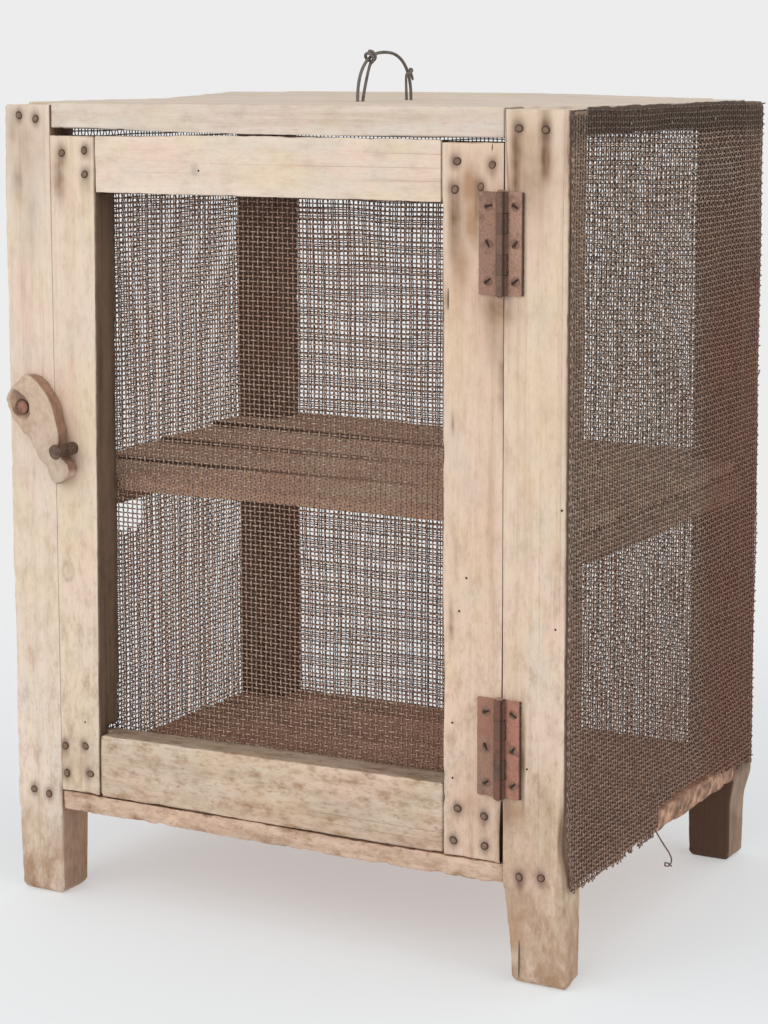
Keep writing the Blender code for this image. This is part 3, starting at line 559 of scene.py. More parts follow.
def timber_material(
    name, grain, timber, age_and_shade, shift, tint=(1, 1, 1), grime_height=0.15, grime=1.0, mottle=1.0, stain=1.0
):
    """Bare weathered wood. grain is the axis of the fibres. The colour given after timber is that of its
    brown faces, which stand partly for browned wood and partly for painted shade.
    """
    box = Paintbox(name, shift)

    def along(share):
        stretch = [1.0, 1.0, 1.0]
        stretch["XYZ".index(grain)] = share
        return stretch

    def tinted(colour):
        return tuple(min(part * share, 1.0) for part, share in zip(colour, tint))

    blotches = box.noise(30, 4, along(0.40), 0.62)
    tints = box.noise(26, 3, along(0.50), 0.6, offset=(4, 1, 7))
    greys = box.noise(34, 3, along(0.45), 0.6, offset=(8, 3, 1))
    bands = box.noise(48, 3, along(0.05), 0.55, 0.3)
    streaks = box.noise(210, 4, along(0.03), 0.62, 0.2)
    fibre = box.noise(1400, 3, along(0.05), 0.65)
    wood = box.mix(box.fit(tints, 0.42, 0.58), tinted(timber.pink), tinted(timber.straw))
    for pattern, start, end, most, colour in (
        (blotches, 0.38, 0.60, 0.85, timber.pale),
        (greys, 0.50, 0.66, 0.75, timber.grey),
        (bands, 0.52, 0.72, 0.45, timber.light),
        (bands, 0.46, 0.28, 0.30, timber.dark),
        (streaks, 0.50, 0.30, 0.34, timber.dark),
        (fibre, 0.52, 0.74, 0.30, timber.dark),
        (fibre, 0.46, 0.28, 0.22, timber.light),
    ):
        wood = box.mix(box.fit(pattern, start, end, 0.0, most), wood, tinted(colour))
    wood = box.mix(box.calc("MULTIPLY", box.painted("edge"), 0.25), wood, tinted(timber.light))

    low = box.fit(box.place("Z"), 0.0, grime_height, grime, 0.0)
    dirt = box.fit(box.noise(75, 6, along(0.55), 0.70, 0.3), 0.34, 0.66, 0.20, 1.0)
    wood = box.mix(box.calc("MULTIPLY", low, dirt), wood, timber.grime)
    spots = box.fit(box.noise(120, 6, along(0.50), 0.72, offset=(2, 6, 3)), 0.42, 0.78, 0.0, 0.75 * mottle)
    specks = box.fit(box.noise(420, 3, along(0.35), 0.65, offset=(9, 2, 6)), 0.48, 0.80, 0.0, 0.55 * mottle)
    marks = box.calc("MAXIMUM", spots, specks)
    marks = box.calc("MULTIPLY", marks, box.fit(box.place("Z"), 0.05, 0.38, 1.0, 0.42))
    wood = box.mix(marks, wood, timber.grime)

    # Painted shade in thin checks along the grain: dark lines, with a groove in the bump.
    line = box.calc("ABSOLUTE", box.calc("SUBTRACT", box.noise(85, 1, along(0.012), 0.5), 0.5))
    crack = box.fit(line, 0.0, 0.006, 1.0, 0.0)
    crack = box.calc("MULTIPLY", crack, box.fit(box.noise(22, 2, along(0.12), offset=(3, 5, 2)), 0.58, 0.65))
    wood = box.mix(box.calc("MULTIPLY", crack, 0.6), wood, timber.rust_run_and_shade)

    wood = box.mix(box.painted("blush"), wood, timber.blush)
    # Smears of rust and dirt, and painted shadows beside a hinge leaf, by the gauze's edge and in the turn
    # button's hollow.
    smear_and_shadow = box.calc("MULTIPLY", box.painted("smear_and_shadow"), box.fit(streaks, 0.32, 0.62, 1.0, 0.78))
    wood = box.mix(smear_and_shadow, wood, timber.smear_and_shadow)
    # The brown faces: browned wood, and painted shade on faces turned from the light.
    brown = box.mix(box.fit(streaks, 0.34, 0.62), dim(age_and_shade, 1 - 0.38 * min(mottle, 1)), age_and_shade)
    brown = box.mix(box.fit(blotches, 0.46, 0.68, 0.0, 0.5), brown, dim(age_and_shade, 1.45))
    brown = box.mix(marks, brown, dim(age_and_shade, 0.32))
    wood = box.mix(box.painted("age_and_shade"), wood, brown)
    # The stain attribute: rust round nails and knots, and painted shade on the fronts of the back feet,
    # between the shelf slats and in the turn button's hollow; the stain argument scales its colour.
    wood = box.mix(box.painted("stain"), wood, dim(timber.rust_run_and_shade, stain))
    relief = box.calc("ADD", box.calc("MULTIPLY", streaks, 0.45), box.calc("MULTIPLY", fibre, 0.5))
    relief = box.calc("SUBTRACT", relief, box.calc("MULTIPLY", crack, 1.3))
    return box.finish(wood, 0.85, relief, 0.5, 0.0005, specular=0.2)


def rust_material(name, base, other, mottling=90, metallic=0.1, roughness=0.75, red=0.5):
    """Rusted iron: a dull base with redder and darker scale."""
    box = Paintbox(name)
    scale = box.noise(mottling, 5, (1, 1, 1), 0.65, 0.3)
    pits = box.noise(mottling * 9, 3, (1, 1, 1), 0.6)
    colour = box.tones(
        scale,
        (0.28, dim(base, 0.5)),
        (0.48, tuple(base)),
        (0.72, tuple(base[i] * (1 - red) + other[i] * red for i in range(3))),
    )
    colour = box.mix(box.fit(pits, 0.48, 0.72, 0.0, 0.5), colour, dim(base, 0.45))
    colour = box.mix(box.fit(pits, 0.44, 0.26, 0.0, 0.4), colour, dim(base, 1.6))
    colour = box.mix(box.painted("warm"), colour, dim(other, 0.85))
    # Darker towards the rim of a head: a dark ring on nails and tacks, and painted shadow round the screw
    # heads.
    colour = box.mix(box.fit(box.painted("rim"), 0.50, 0.85, 0.0, 0.85), colour, dim(base, 0.2))
    # Painted shade in crevices: the groove beside a hinge barrel, a hinge leaf's raised outer edge, and screw
    # slots; hinge barrels are painted darker too.
    colour = box.mix(box.painted("crevice_shade"), colour, dim(base, 0.12))
    relief = box.calc("ADD", box.calc("MULTIPLY", scale, 0.6), box.calc("MULTIPLY", pits, 0.5))
    return box.finish(colour, roughness, relief, 0.55, 0.0003, metallic=metallic, specular=0.3)


def gauze_material(name, cloth, lightness=1.0, reddish=0.25, least=0.0, rusty=False):
    """Old woven wire: brown, and redder where it has rusted, with grey painted as highlights on the crests of
    the weave and painted shade in its troughs.
    """
    box = Paintbox(name)
    patches = box.noise(16, 4, (1, 1, 1), 0.6)
    flecks = box.noise(330, 3, (1, 1, 1), 0.65)
    brown = dim(cloth.brown, lightness)
    rust = box.fit(patches, 0.46, 0.70, least, reddish)
    if rusty:
        up = box.place("Z")
        back = box.calc("MULTIPLY", box.fit(box.place("Y"), 0.03, 0.085), box.fit(up, 0.50, 0.34, 0.10, 0.90))
        low = box.calc("MULTIPLY", box.fit(up, 0.30, 0.12), 0.50)
        rust = box.calc("MAXIMUM", rust, box.calc("MAXIMUM", back, low))
    colour = box.mix(rust, brown, dim(cloth.rust, lightness))
    # Painted light on the weave: grey highlights on the crests, fewer where rusted.
    crest = box.fit(box.painted("crest"), 0.15, 0.95)
    shine = box.calc("MULTIPLY", box.fit(flecks, 0.36, 0.66, 0.15, 1.0), crest)
    shine = box.calc("MULTIPLY", shine, box.fit(rust, 0.0, 1.0, 1.0, 0.30))
    colour = box.mix(shine, colour, dim(cloth.grey, lightness))
    # Painted shade in the troughs of the weave.
    colour = box.mix(box.fit(crest, 0.0, 0.8, 0.62, 0.0), colour, dim(brown, 0.30))
    colour = box.mix(box.fit(flecks, 0.46, 0.30, 0.0, 0.6), colour, dim(brown, 0.40))
    if rusty:
        hem = box.fit(up, 0.483, 0.491, 0.0, 0.65)
        colour = box.mix(hem, colour, dim(brown, 0.30))
    return box.finish(colour, 0.7, flecks, 0.4, 0.0002, metallic=0.0, specular=0.3)


def edge_distance(spots, low, high):
    """How far each point is from the nearest arris of a piece's box."""
    gaps = np.minimum(spots - np.array(low), np.array(high) - spots)
    return np.sort(gaps, axis=1)[:, 1]


NAIL_STAIN, KNOT_RIM = 0.0032, 0.0011


def nail_stain_and_foot_shade(spots, normals):
    """Rust round the front nails and the knots, and painted shade on the dark fronts of the back feet, which
    stand in shadow under the cupboard.
    """
    x, y, z = spots.T
    stain = np.zeros(len(spots))
    for nail_x, nail_z, *_ in (*POST_NAILS, *DOOR_NAILS):
        away = np.hypot(x - nail_x, 0.75 * (z - nail_z - 0.0006))
        stain = np.maximum(stain, 0.8 * near(away, NAIL_STAIN))
    for knot_x, knot_z, radius in KNOTS:
        away = np.hypot(x - knot_x, (z - knot_z) * 0.8)
        ring = near(away - radius, KNOT_RIM) * 0.30
        core = near(away, radius * 0.5) * 0.22
        stain = np.maximum(stain, np.maximum(ring, core))
    # Painted shade: the fronts of the back feet are made dark.
    stain = np.where(y > 0, 0.95 * (z < FOOT_TOP), stain)
    return stain * (normals[:, 1] < -0.4)


def marks_on_front(marks, spots, normals, seed):
    """Soft ragged marks on the front faces, from rows of (x, z, half width, half height, strength)."""
    x, _, z = spots.T
    total = np.zeros(len(spots))
    for mark_x, mark_z, wide, tall, strength in marks:
        away = ((x - mark_x) / wide) ** 2 + ((z - mark_z) / tall) ** 2
        total = np.maximum(total, strength * np.exp(-away))
    ragged = 0.97 + 0.10 * swell(spots, 0.012, seed) + 0.06 * swell(spots, 0.006, seed + 1)
    return np.clip(total * np.clip(ragged, 0.3, 1.3), 0, 1) * (normals[:, 1] < -0.2)


def nail_runs():
    """The brown runs under the nails, as marks."""
    nails = (*POST_NAILS, *DOOR_NAILS)
    return [(x, z - run / 2, 0.0030, run / 2 + 0.002, strength) for x, z, run, strength in nails]


def stations(low, high, spacing, zones=(), fine=None, margin=0.0022):
    """Places between low and high, closer together inside the zones."""
    places = []
    place = low + margin
    while place < high - 0.7 * margin:
        places.append(place)
        place += fine if any(start < place < end for start, end in zones) else spacing
    return places


def gridded(node, cuts):
    """A copy of a timber, cut across at the given places on each axis."""
    piece = copy_of(node, f"{node}_timber")
    edit(piece)
    bpy.ops.mesh.dissolve_limited(angle_limit=math.radians(0.5))
    for axis, places in sorted(cuts.items(), key=lambda cut: -len(cut[1])):
        normal = [float(axis == letter) for letter in "XYZ"]
        for place in places:
            bpy.ops.mesh.select_all(action="SELECT")
            bpy.ops.mesh.bisect(plane_co=[part * place for part in normal], plane_no=normal)
    leave_edit()
    return piece


# Width of the solids' eased arrises
EASED = 0.0013


def ease_arrises(spots, low, high, softness):
    """Scales the eased arrises of a box-like timber by a share for each point."""
    low, high = np.array(low), np.array(high)
    gaps = np.minimum(spots - low, high - spots)
    eased = spots.copy()
    for axis in range(3):
        on_arris = gaps[:, axis] + np.delete(gaps, axis, axis=1).min(axis=1) < EASED
        wall = np.where(spots[:, axis] - low[axis] < high[axis] - spots[:, axis], low[axis], high[axis])
        eased[:, axis] = np.where(on_arris, wall + (spots[:, axis] - wall) * softness, spots[:, axis])
    return eased


# How far bare wood reaches from an arris, and how deep the arris is nibbled
BARE_REACH = 0.0032
NIBBLE_DEPTH = 0.00035


def worn_timber(
    node, body, slot, material, cuts, seed, grain, age_and_shade=None, shape=None, wear=1.0, ripple=0.0001, crisp=None
):
    """A worn copy of a timber: uneven arrises, ripples along the grain and nibbled edges."""
    piece = gridded(node, cuts)
    spots = points_of(piece)
    low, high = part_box(node)
    run = spots.copy()
    run[:, "XYZ".index(grain)] *= 0.2
    bare = near(edge_distance(spots, low, high), BARE_REACH)
    softness = np.clip(0.45 + 0.35 * swell(run, 0.020, seed + 4), 0.25, 1.3)
    tight = crisp(spots) if crisp else np.zeros(len(spots))
    worn = ease_arrises(spots, low, high, softness * (1 - 0.85 * tight))
    move_points(piece, worn)
    normals = points_of(piece, "normal")
    nibble = np.clip(swell(spots, 0.016, seed + 1) - 0.5, 0, 2)
    nibble += 0.4 * np.clip(swell(spots, 0.006, seed + 2), 0, 2)
    lift = ripple * swell(run, 0.035, seed) + 0.3 * ripple * swell(run, 0.009, seed + 3)
    lift -= NIBBLE_DEPTH * wear * bare * nibble
    worn += normals * (lift * (1 - 0.9 * tight))[:, None]
    if shape:
        worn = shape(worn, normals)
    move_points(piece, worn)
    paint(piece, "edge", bare)
    # Rust round nails and knots, and painted shade on the fronts of the back feet.
    paint(piece, "stain", nail_stain_and_foot_shade(spots, normals))
    # Smears, with some painted shadows among them.
    paint(piece, "smear_and_shadow", marks_on_front((*SMEARS_AND_SHADOWS, *nail_runs()), spots, normals, seed + 5))
    paint(piece, "blush", marks_on_front(BLUSHES, spots, normals, seed + 7))
    # The share of brown on each point: browned wood, and painted shade.
    paint(piece, "age_and_shade", age_and_shade(spots, normals) if age_and_shade else np.ones(len(spots)))
    smooth_by_angle(piece, 50)
    dress(piece, body, slot, material, node)
    return piece


def age_and_shade_front_post(spots, normals):
    """Brown on every face but the front, partly browned wood and partly painted shade: the inner faces stay
    dark down to the foot, while the outer face, which takes the light, is bare again at the foot.
    """
    outward = np.sign(spots[:, 0]) * normals[:, 0]
    outer = ramp_up(outward, 0.6, 0.95)
    inner = ramp_up(-outward, 0.6, 0.95)
    behind = ramp_up(normals[:, 1], 0.3, 0.9)
    above = ramp_up(spots[:, 2], FOOT_TOP - 0.004, FOOT_TOP + 0.004)
    return np.maximum.reduce([outer * (0.12 + 0.60 * above), inner * (0.75 + 0.2 * above), behind * 0.9])


def age_and_shade_back_post(spots, normals):
    """Brown all over, partly painted shade for posts that stand in shadow, with barer outer faces at the
    foot, which take the light.
    """
    outer = np.maximum(np.sign(spots[:, 0]) * normals[:, 0], normals[:, 1])
    foot = 1 - ramp_up(spots[:, 2], FOOT_TOP - 0.002, FOOT_TOP + 0.006)
    return 0.96 - 0.35 * ramp_up(outer, 0.6, 0.95) * foot


def age_and_shade_opening(spots, normals):
    """Brown on every face of the door frame but the front, partly browned wood and partly painted shade
    inside the opening; less on the ledge of the bottom rail.
    """
    away = ramp_up(normals[:, 1], -0.75, -0.15)
    ledge = ramp_up(normals[:, 2], 0.6, 0.95) * (spots[:, 2] < 0.2)
    return np.clip(away * (0.96 - 0.55 * ledge), 0, 1)


def age_and_shade_top_board(spots, normals):
    """Brown under the board and on the edges that the gauze covers."""
    side = ramp_up(np.maximum(np.abs(normals[:, 0]), normals[:, 1]), 0.6, 0.9)
    return np.maximum(ramp_up(-normals[:, 2], 0.4, 0.9) * 0.95, side * 0.95)


def age_and_shade_bottom_board(spots, normals):
    """Brown all over, less on the front edge."""
    front = ramp_up(-normals[:, 1], 0.5, 0.9)
    return 0.95 - 0.66 * front


def near_x(x):
    """Picks out the points of an upright beside one of its long edges."""
    return lambda spots: 1 - ramp_up(np.abs(spots[:, 0] - x), 0.002, 0.005)


def even_cuts(node, x, y, z):
    """Stations across a timber, with a spacing for each axis."""
    low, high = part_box(node)
    return {
        "X": stations(low.x, high.x, x),
        "Y": stations(low.y, high.y, y),
        "Z": stations(low.z, high.z, z),
    }


# Heights between which the nails of the front lie, and the spacing of cuts from front to back
NAILED_HEIGHTS = ((0.055, 0.109), (0.453, 0.515))
DEPTH_SPACING = 0.005


def upright_cuts(node, timber):
    """Stations across an upright of the front: close where the nails are."""
    low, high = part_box(node)
    cuts = even_cuts(node, timber.fine_spacing * 1.1, DEPTH_SPACING, timber.cut_spacing)
    cuts["Z"] = stations(low.z, high.z, timber.cut_spacing, NAILED_HEIGHTS, timber.fine_spacing)
    return cuts


# How far post and stile grow towards each other, on the right and on the left
SEAM_GAIN = 0.0003
SIDE_GAIN = 0.00032


def mid_height(z):
    """1 along the middle of the door's height, where post and stile almost touch, and 0 by its hinges."""
    return ramp_up(z, 0.145, 0.225) * (1 - ramp_up(z, 0.365, 0.445))


class FOODSAFE_OT_posts(bpy.types.Operator):
    """Make the four worn corner posts"""

    bl_idname = "foodsafe.posts"
    bl_label = "Posts"

    def execute(self, context):
        timber = context.scene.food_safe_timber
        for side, shift, tint, grime, shape, seam, seed in (
            ("left", 0.7, (1.05, 1.05, 1.06), (0.085, 1.0, 0.8), self.close_left, 1, 3),
            ("right", 3.8, (1.02, 0.98, 0.95), (0.17, 0.85), self.close_seam, 0, 13),
        ):
            node = f"front_{side}_post"
            wood = timber_material(f"{node}_wood", "Z", timber, timber.shade_brown, shift, tint, *grime)
            cuts = upright_cuts(node, timber)
            crisp = near_x(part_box(node)[seam].x)
            worn_timber(
                node, "cabinet", "pale_wood", wood, cuts, seed, "Z", age_and_shade_front_post, shape, crisp=crisp
            )
        brown, tint = timber.deep_brown, (0.9, 0.85, 0.8)
        for side, shift, seed in (("left", 11.3, 23), ("right", 14.2, 33)):
            node = f"back_{side}_post"
            # A darker stain colour on the back posts deepens the painted shade on the fronts of their feet.
            wood = timber_material(f"{node}_wood", "Z", timber, brown, shift, tint, 0.09, 0.9, stain=0.75)
            cuts = even_cuts(node, 0.004, 0.004, timber.cut_spacing * 1.7)
            worn_timber(node, "cabinet", "pale_wood", wood, cuts, seed, "Z", age_and_shade_back_post, self.taper_foot)
        return {"FINISHED"}

    def taper_foot(self, spots, normals):
        """The back feet are slimmer than the posts above them."""
        x, y, z = spots.T
        down = 1 - ramp_up(z, FOOT_TOP - 0.020, FOOT_TOP)
        inward = np.sign(x) * BACK_FOOT_SLIMMER * (np.abs(x) > 0.177)
        forward = BACK_FOOT_THINNER * (y > BACK - 0.012)
        return shifted(spots, -inward * down, -forward * down)

    def close_left(self, spots, normals):
        """The left post all but touches the door, and its foot is deeper than the rest."""
        z = spots[:, 2]
        inner = ramp_up(normals[:, 0], 0.3, 0.8) * ramp_up(z, 0.069, 0.075)
        foot = ramp_up(normals[:, 1], 0.3, 0.8) * (1 - ramp_up(z, FOOT_TOP - 0.003, FOOT_TOP - 0.001))
        return shifted(spots, SIDE_GAIN * inner, LEFT_FOOT_DEEPER * foot)

    def close_seam(self, spots, normals):
        """The right post all but touches the door at mid-height, and its foot splays a little."""
        x, y, z = spots.T
        front = 1 - ramp_up(y - FRONT, 0.003, 0.020)
        splay = (0.0010 + 0.0024 * front) * np.clip(1 - z / FOOT_TOP, 0, 1) * (x > 0.172)
        bite = RIGHT_POST_BITE * near(z - 0.084, 0.015) * ramp_up(x, 0.188, 0.193)
        worn = RIGHT_POST_WORN * ramp_up(z, 0.0, 0.03) * (1 - ramp_up(z, 0.09, 0.118))
        inner = ramp_up(-normals[:, 0], 0.2, 0.7)
        return shifted(spots, splay - bite + (worn - SEAM_GAIN * mid_height(z)) * inner)


class FOODSAFE_OT_boards(bpy.types.Operator):
    """Make the warped top board and the rough bottom board"""

    bl_idname = "foodsafe.boards"
    bl_label = "Top and bottom boards"

    def execute(self, context):
        timber = context.scene.food_safe_timber
        under = dim(timber.deep_brown, 0.55)
        inside = timber.board_brown
        top = timber_material("top_board_wood", "X", timber, under, 21.7, (0.96, 1.0, 1.05), grime=0.0)
        tint = (1.0, 0.95, 0.92)
        bottom = timber_material("bottom_board_wood", "X", timber, inside, 24.9, tint, 0.12, 0.7, 1.5)
        boards = {}
        for node, wood, seed, age_and_shade, shape, wear, ripple in (
            ("top_board", top, 61, age_and_shade_top_board, self.warp, 1.0, 0.00012),
            ("bottom_board", bottom, 71, age_and_shade_bottom_board, self.fill_notch, 2.6, 0.0003),
        ):
            cuts = even_cuts(node, timber.cut_spacing, timber.cut_spacing * 1.5, 0.003)
            boards[node] = worn_timber(
                node, "cabinet", "worn_board", wood, cuts, seed, "X", age_and_shade, shape, wear, ripple
            )
        self.soil_ends(boards["bottom_board"])
        return {"FINISHED"}

    def soil_ends(self, board):
        """Dark dirt on the board's sides, which show under the torn hem of the gauze."""
        spots = points_of(board)
        ends = ramp_up(np.abs(points_of(board, "normal")[:, 0]), 0.5, 0.8)
        rough = 0.46 + 0.34 * swell(spots, 0.007, 75) + 0.28 * swell(spots, 0.003, 76)
        paint(board, "stain", 0.8 * np.clip(rough, 0, 1) * ends)

    def fill_notch(self, spots, normals):
        """The board's front edge reaches the worn side of the right post."""
        low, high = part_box("front_right_post")
        beside = np.clip(1 - np.abs(spots[:, 0] - low.x) / 0.003, 0, 1) * (spots[:, 1] < high.y + 0.0015)
        return shifted(spots, NOTCH_FILL * beside)

    def warp(self, spots, normals):
        """The board has lifted at the back and sags along the underside of its front edge."""
        x, y, z = spots.T
        behind = y - FRONT
        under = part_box("top_board")[0].z
        lifted = TOP_BOARD_LIFT * ramp_up(behind, 0.17, 0.27) * (1 - ramp_up(x, 0.0, 0.17))
        places = (-0.158, -0.095, -0.019, 0.088, 0.153)
        sag = np.interp(x, places, (0.0003, -0.0006, -0.0015, -0.0019, -0.0013))
        sag *= (1 - ramp_up(z, under + 0.003, under + 0.009)) * (1 - ramp_up(behind, 0.010, 0.035))
        return shifted(spots, z=lifted + sag)


class FOODSAFE_OT_shelf(bpy.types.Operator):
    """Make the brown shelf slats and their cleats"""

    bl_idname = "foodsafe.shelf"
    bl_label = "Shelf"

    def execute(self, context):
        timber = context.scene.food_safe_timber
        for number, (lightness, left, right) in enumerate(SLATS):
            node = f"shelf_slat_{number + 1}"
            low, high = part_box(node)
            brown = dim(timber.slat_brown, lightness)
            shift = 31.0 + 1.7 * number
            wood = timber_material(f"{node}_wood", "X", timber, brown, shift, grime=0.0, mottle=0.3)

            def lift(spots, normals):
                return shifted(spots, z=np.interp(spots[:, 0], (low.x, high.x), (left, right)))

            cuts = even_cuts(node, 0.005, 0.0022, 0.002)
            seed = 80 + 7 * number
            slat = worn_timber(
                node, "cabinet", "stained_wood", wood, cuts, seed, "X", None, lift, wear=1.5, ripple=0.0002
            )
            self.paint_gap_shadows(slat, low.y, high.y, number == 0, number == len(SLATS) - 1)
        brown = dim(timber.slat_brown, 0.52)
        for side, shift, seed, shape in (("left", 41.0, 131, self.deepen), ("right", 43.3, 141, None)):
            node = f"shelf_cleat_{side}"
            wood = timber_material(f"{node}_wood", "Y", timber, brown, shift, grime=0.0)
            cuts = even_cuts(node, 0.004, 0.005, 0.003)
            worn_timber(node, "cabinet", "stained_wood", wood, cuts, seed, "Y", None, shape)
        return {"FINISHED"}

    def paint_gap_shadows(self, slat, front_edge, back_edge, first, last):
        """Painted shadow: dark lines beside the gaps between slats, where each slat steps up from the one in
        front, fading to the right; and a darker front and ends.
        """
        x, y, _ = points_of(slat).T
        normals = points_of(slat, "normal")
        gaps = np.minimum(y - front_edge + first, back_edge - y + last)
        # Painted shadow at the gaps, strongest at the left, where the slats step up most.
        gap_shadows = np.interp(x, (-0.09, 0.08), (0.95, 0.25)) * near(np.clip(gaps, 0, 1), 0.0026)
        front = 0.34 * ramp_up(-normals[:, 1], 0.5, 0.9) * first
        ends = 0.25 * ramp_up(np.abs(normals[:, 0]), 0.5, 0.9)
        paint(slat, "stain", np.maximum.reduce([gap_shadows, front, ends]))

    def deepen(self, spots, normals):
        """The left cleat is deeper than the right one, and rises to the back under the slats."""
        low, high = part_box("shelf_cleat_left")
        up = ramp_up(spots[:, 2], low.z + 0.002, high.z - 0.002)
        rise = np.interp(spots[:, 1], (low.y + 0.07, high.y - 0.03), (0.0, LEFT_CLEAT_RISE))
        return shifted(spots, z=rise * up - LEFT_CLEAT_DEEPER * (1 - up))


# Heights between which the inner edges of the stiles lean
STILE_ENDS = (0.09, 0.48)


class FOODSAFE_OT_door_frame(bpy.types.Operator):
    """Make the half-lapped door frame"""

    bl_idname = "foodsafe.door_frame"
    bl_label = "Door frame"

    def execute(self, context):
        timber = context.scene.food_safe_timber
        inside = dim(timber.shade_brown, 0.5)
        for side, shift, tint, shape, seam, seed in (
            ("left", 51.0, (1.05, 1.035, 1.01), self.close_left, 0, 160),
            ("right", 54.7, (1.01, 0.94, 0.90), self.close_seam, 1, 169),
        ):
            node = f"door_{side}_stile"
            wood = timber_material(f"{node}_wood", "Z", timber, inside, shift, tint, 0.16, 0.55)
            cuts = upright_cuts(node, timber)
            crisp = near_x(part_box(node)[seam].x)
            worn_timber(node, "door", "pale_wood", wood, cuts, seed, "Z", age_and_shade_opening, shape, crisp=crisp)
        for side, shift, tint, grime, mottle, shape, seed in (
            ("top", 61.0, (1.05, 1.05, 1.05), 0.0, 1.0, self.raise_top, 180),
            ("bottom", 65.1, (0.95, 0.91, 0.87), 0.95, 1.6, self.slope_bottom, 189),
        ):
            node = f"door_{side}_rail"
            wood = timber_material(f"{node}_wood", "X", timber, inside, shift, tint, 0.125, grime, mottle)
            cuts = even_cuts(node, timber.cut_spacing, DEPTH_SPACING, 0.0022)
            worn_timber(node, "door", "pale_wood", wood, cuts, seed, "X", age_and_shade_opening, shape)
        return {"FINISHED"}

    def close_left(self, spots, normals):
        """The left stile all but touches its post, and narrows towards its foot."""
        low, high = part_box("door_left_stile")
        inner = ramp_up(spots[:, 0], low.x + 0.006, high.x - 0.001)
        slant = np.interp(spots[:, 2], STILE_ENDS, LEFT_STILE_LEAN)
        return shifted(spots, slant * inner - SIDE_GAIN * ramp_up(-normals[:, 0], 0.3, 0.8))

    def close_seam(self, spots, normals):
        """The right stile all but touches the post, but is worn away at its foot."""
        x, _, z = spots.T
        low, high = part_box("door_right_stile")
        worn = RIGHT_STILE_WORN * (1 - ramp_up(z, 0.085, 0.112))
        inner = 1 - ramp_up(x, low.x + 0.001, high.x - 0.006)
        slant = np.interp(z, STILE_ENDS, RIGHT_STILE_LEAN)
        gain = (SEAM_GAIN * mid_height(z) - worn) * ramp_up(normals[:, 0], 0.2, 0.7)
        return shifted(spots, slant * inner + gain)

    def raise_top(self, spots, normals):
        """The rail's upper edge is proud of the stiles along the middle."""
        x, y, z = spots.T
        places = (-0.142, -0.138, -0.095, -0.056, 0.088, 0.117, 0.121)
        rise = np.interp(x, places, (0.0, 0.0002, 0.0004, 0.0015, 0.0015, 0.0012, 0.0))
        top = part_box("door_top_rail")[1].z
        upper = ramp_up(z, top - 0.012, top - 0.003) * (1 - ramp_up(y - FRONT, 0.002, 0.010))
        ends = self.shoulder(x, "door_left_stile", 1, LEFT_STILE_LEAN[1])
        ends += self.shoulder(x, "door_right_stile", 0, RIGHT_STILE_LEAN[1])
        return shifted(spots, ends, z=rise * upper)

    def slope_bottom(self, spots, normals):
        """The bottom rail is lower at its left end."""
        x, _, z = spots.T
        low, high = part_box("door_bottom_rail")
        upper = ramp_up(z, low.z + 0.012, high.z - 0.002)
        drop = np.interp(x, (-0.13, 0.09), (BOTTOM_RAIL_DROP, 0.0))
        ends = self.shoulder(x, "door_left_stile", 1, LEFT_STILE_LEAN[0])
        return shifted(spots, ends, z=-drop * upper)

    def shoulder(self, x, stile, side, shift):
        """Moves the end of a rail's face with the edge of its stile."""
        return shift * np.clip(1 - np.abs(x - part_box(stile)[side].x) / 0.004, 0, 1)


# Sides of a woven wire, how far the cloth wanders in its plane, and how far the right-hand cloth hangs down
WIRE_SIDES = 5
GAUZE_WANDER = 0.0006
GAUZE_DROP = 0.005
# The torn hem of the right-hand gauze, as (distance behind the front, height)
TORN_HEM = (
    (0.005, 0.0556),
    (0.067, 0.0548),
    (0.134, 0.0575),
    (0.138, 0.0718),
    (0.157, 0.0745),
    (0.194, 0.0762),
    (0.249, 0.0669),
    (0.272, 0.0646),
)


def straight_wires(name, wires, gap, steps, step, radius):
    """Parallel open tubes along Z, with a ring at each crossing."""
    tube = {"vertices": WIRE_SIDES, "radius": radius, "depth": step, "end_fill_type": "NOTHING"}
    piece = started(name, bpy.ops.mesh.primitive_cylinder_add, location=(0, 0, step / 2), **tube)
    repeat = {"use_relative_offset": False, "use_constant_offset": True}
    joined = {"use_merge_vertices": True, "merge_threshold": step / 100}
    finish_with(piece, "ARRAY", count=steps, constant_offset_displace=(0, 0, step), **repeat, **joined)
    finish_with(piece, "ARRAY", count=wires, constant_offset_displace=(gap, 0, 0), **repeat)
    return piece


def rings_of(piece, gap, step):
    """The wire and the ring along it that each point of straight wires belongs to."""
    spots = points_of(piece)
    return np.rint(spots[:, 0] / gap).astype(int), np.rint(spots[:, 2] / step).astype(int)


def weave(piece, wire, ring, gap, step, radius, seed, looseness):
    """Bends straight wires over and under their crossings, and lets them wander a little."""
    spots = points_of(piece)
    draw = np.random.default_rng(seed)
    wires = wire.max() + 1
    spots[:, 1] += radius * np.where((wire + ring) % 2, 1, -1)
    drift = draw.normal(0, 0.07 * gap, wires)
    phase = draw.uniform(0, math.tau, (wires, 2))
    height = spots[:, 2]
    wander = np.sin(height * 38 + phase[wire, 0]) + 0.7 * np.sin(height * 97 + phase[wire, 1])
    spots[:, 0] += looseness * (drift[wire] + 0.045 * gap * wander)
    cut_low = draw.uniform(0.1, 0.9, wires) * step
    cut_high = draw.uniform(0.1, 0.9, wires) * step
    spots[:, 2] += np.where(ring == 0, cut_low[wire], 0) - np.where(ring == ring.max(), cut_high[wire], 0)
    return spots


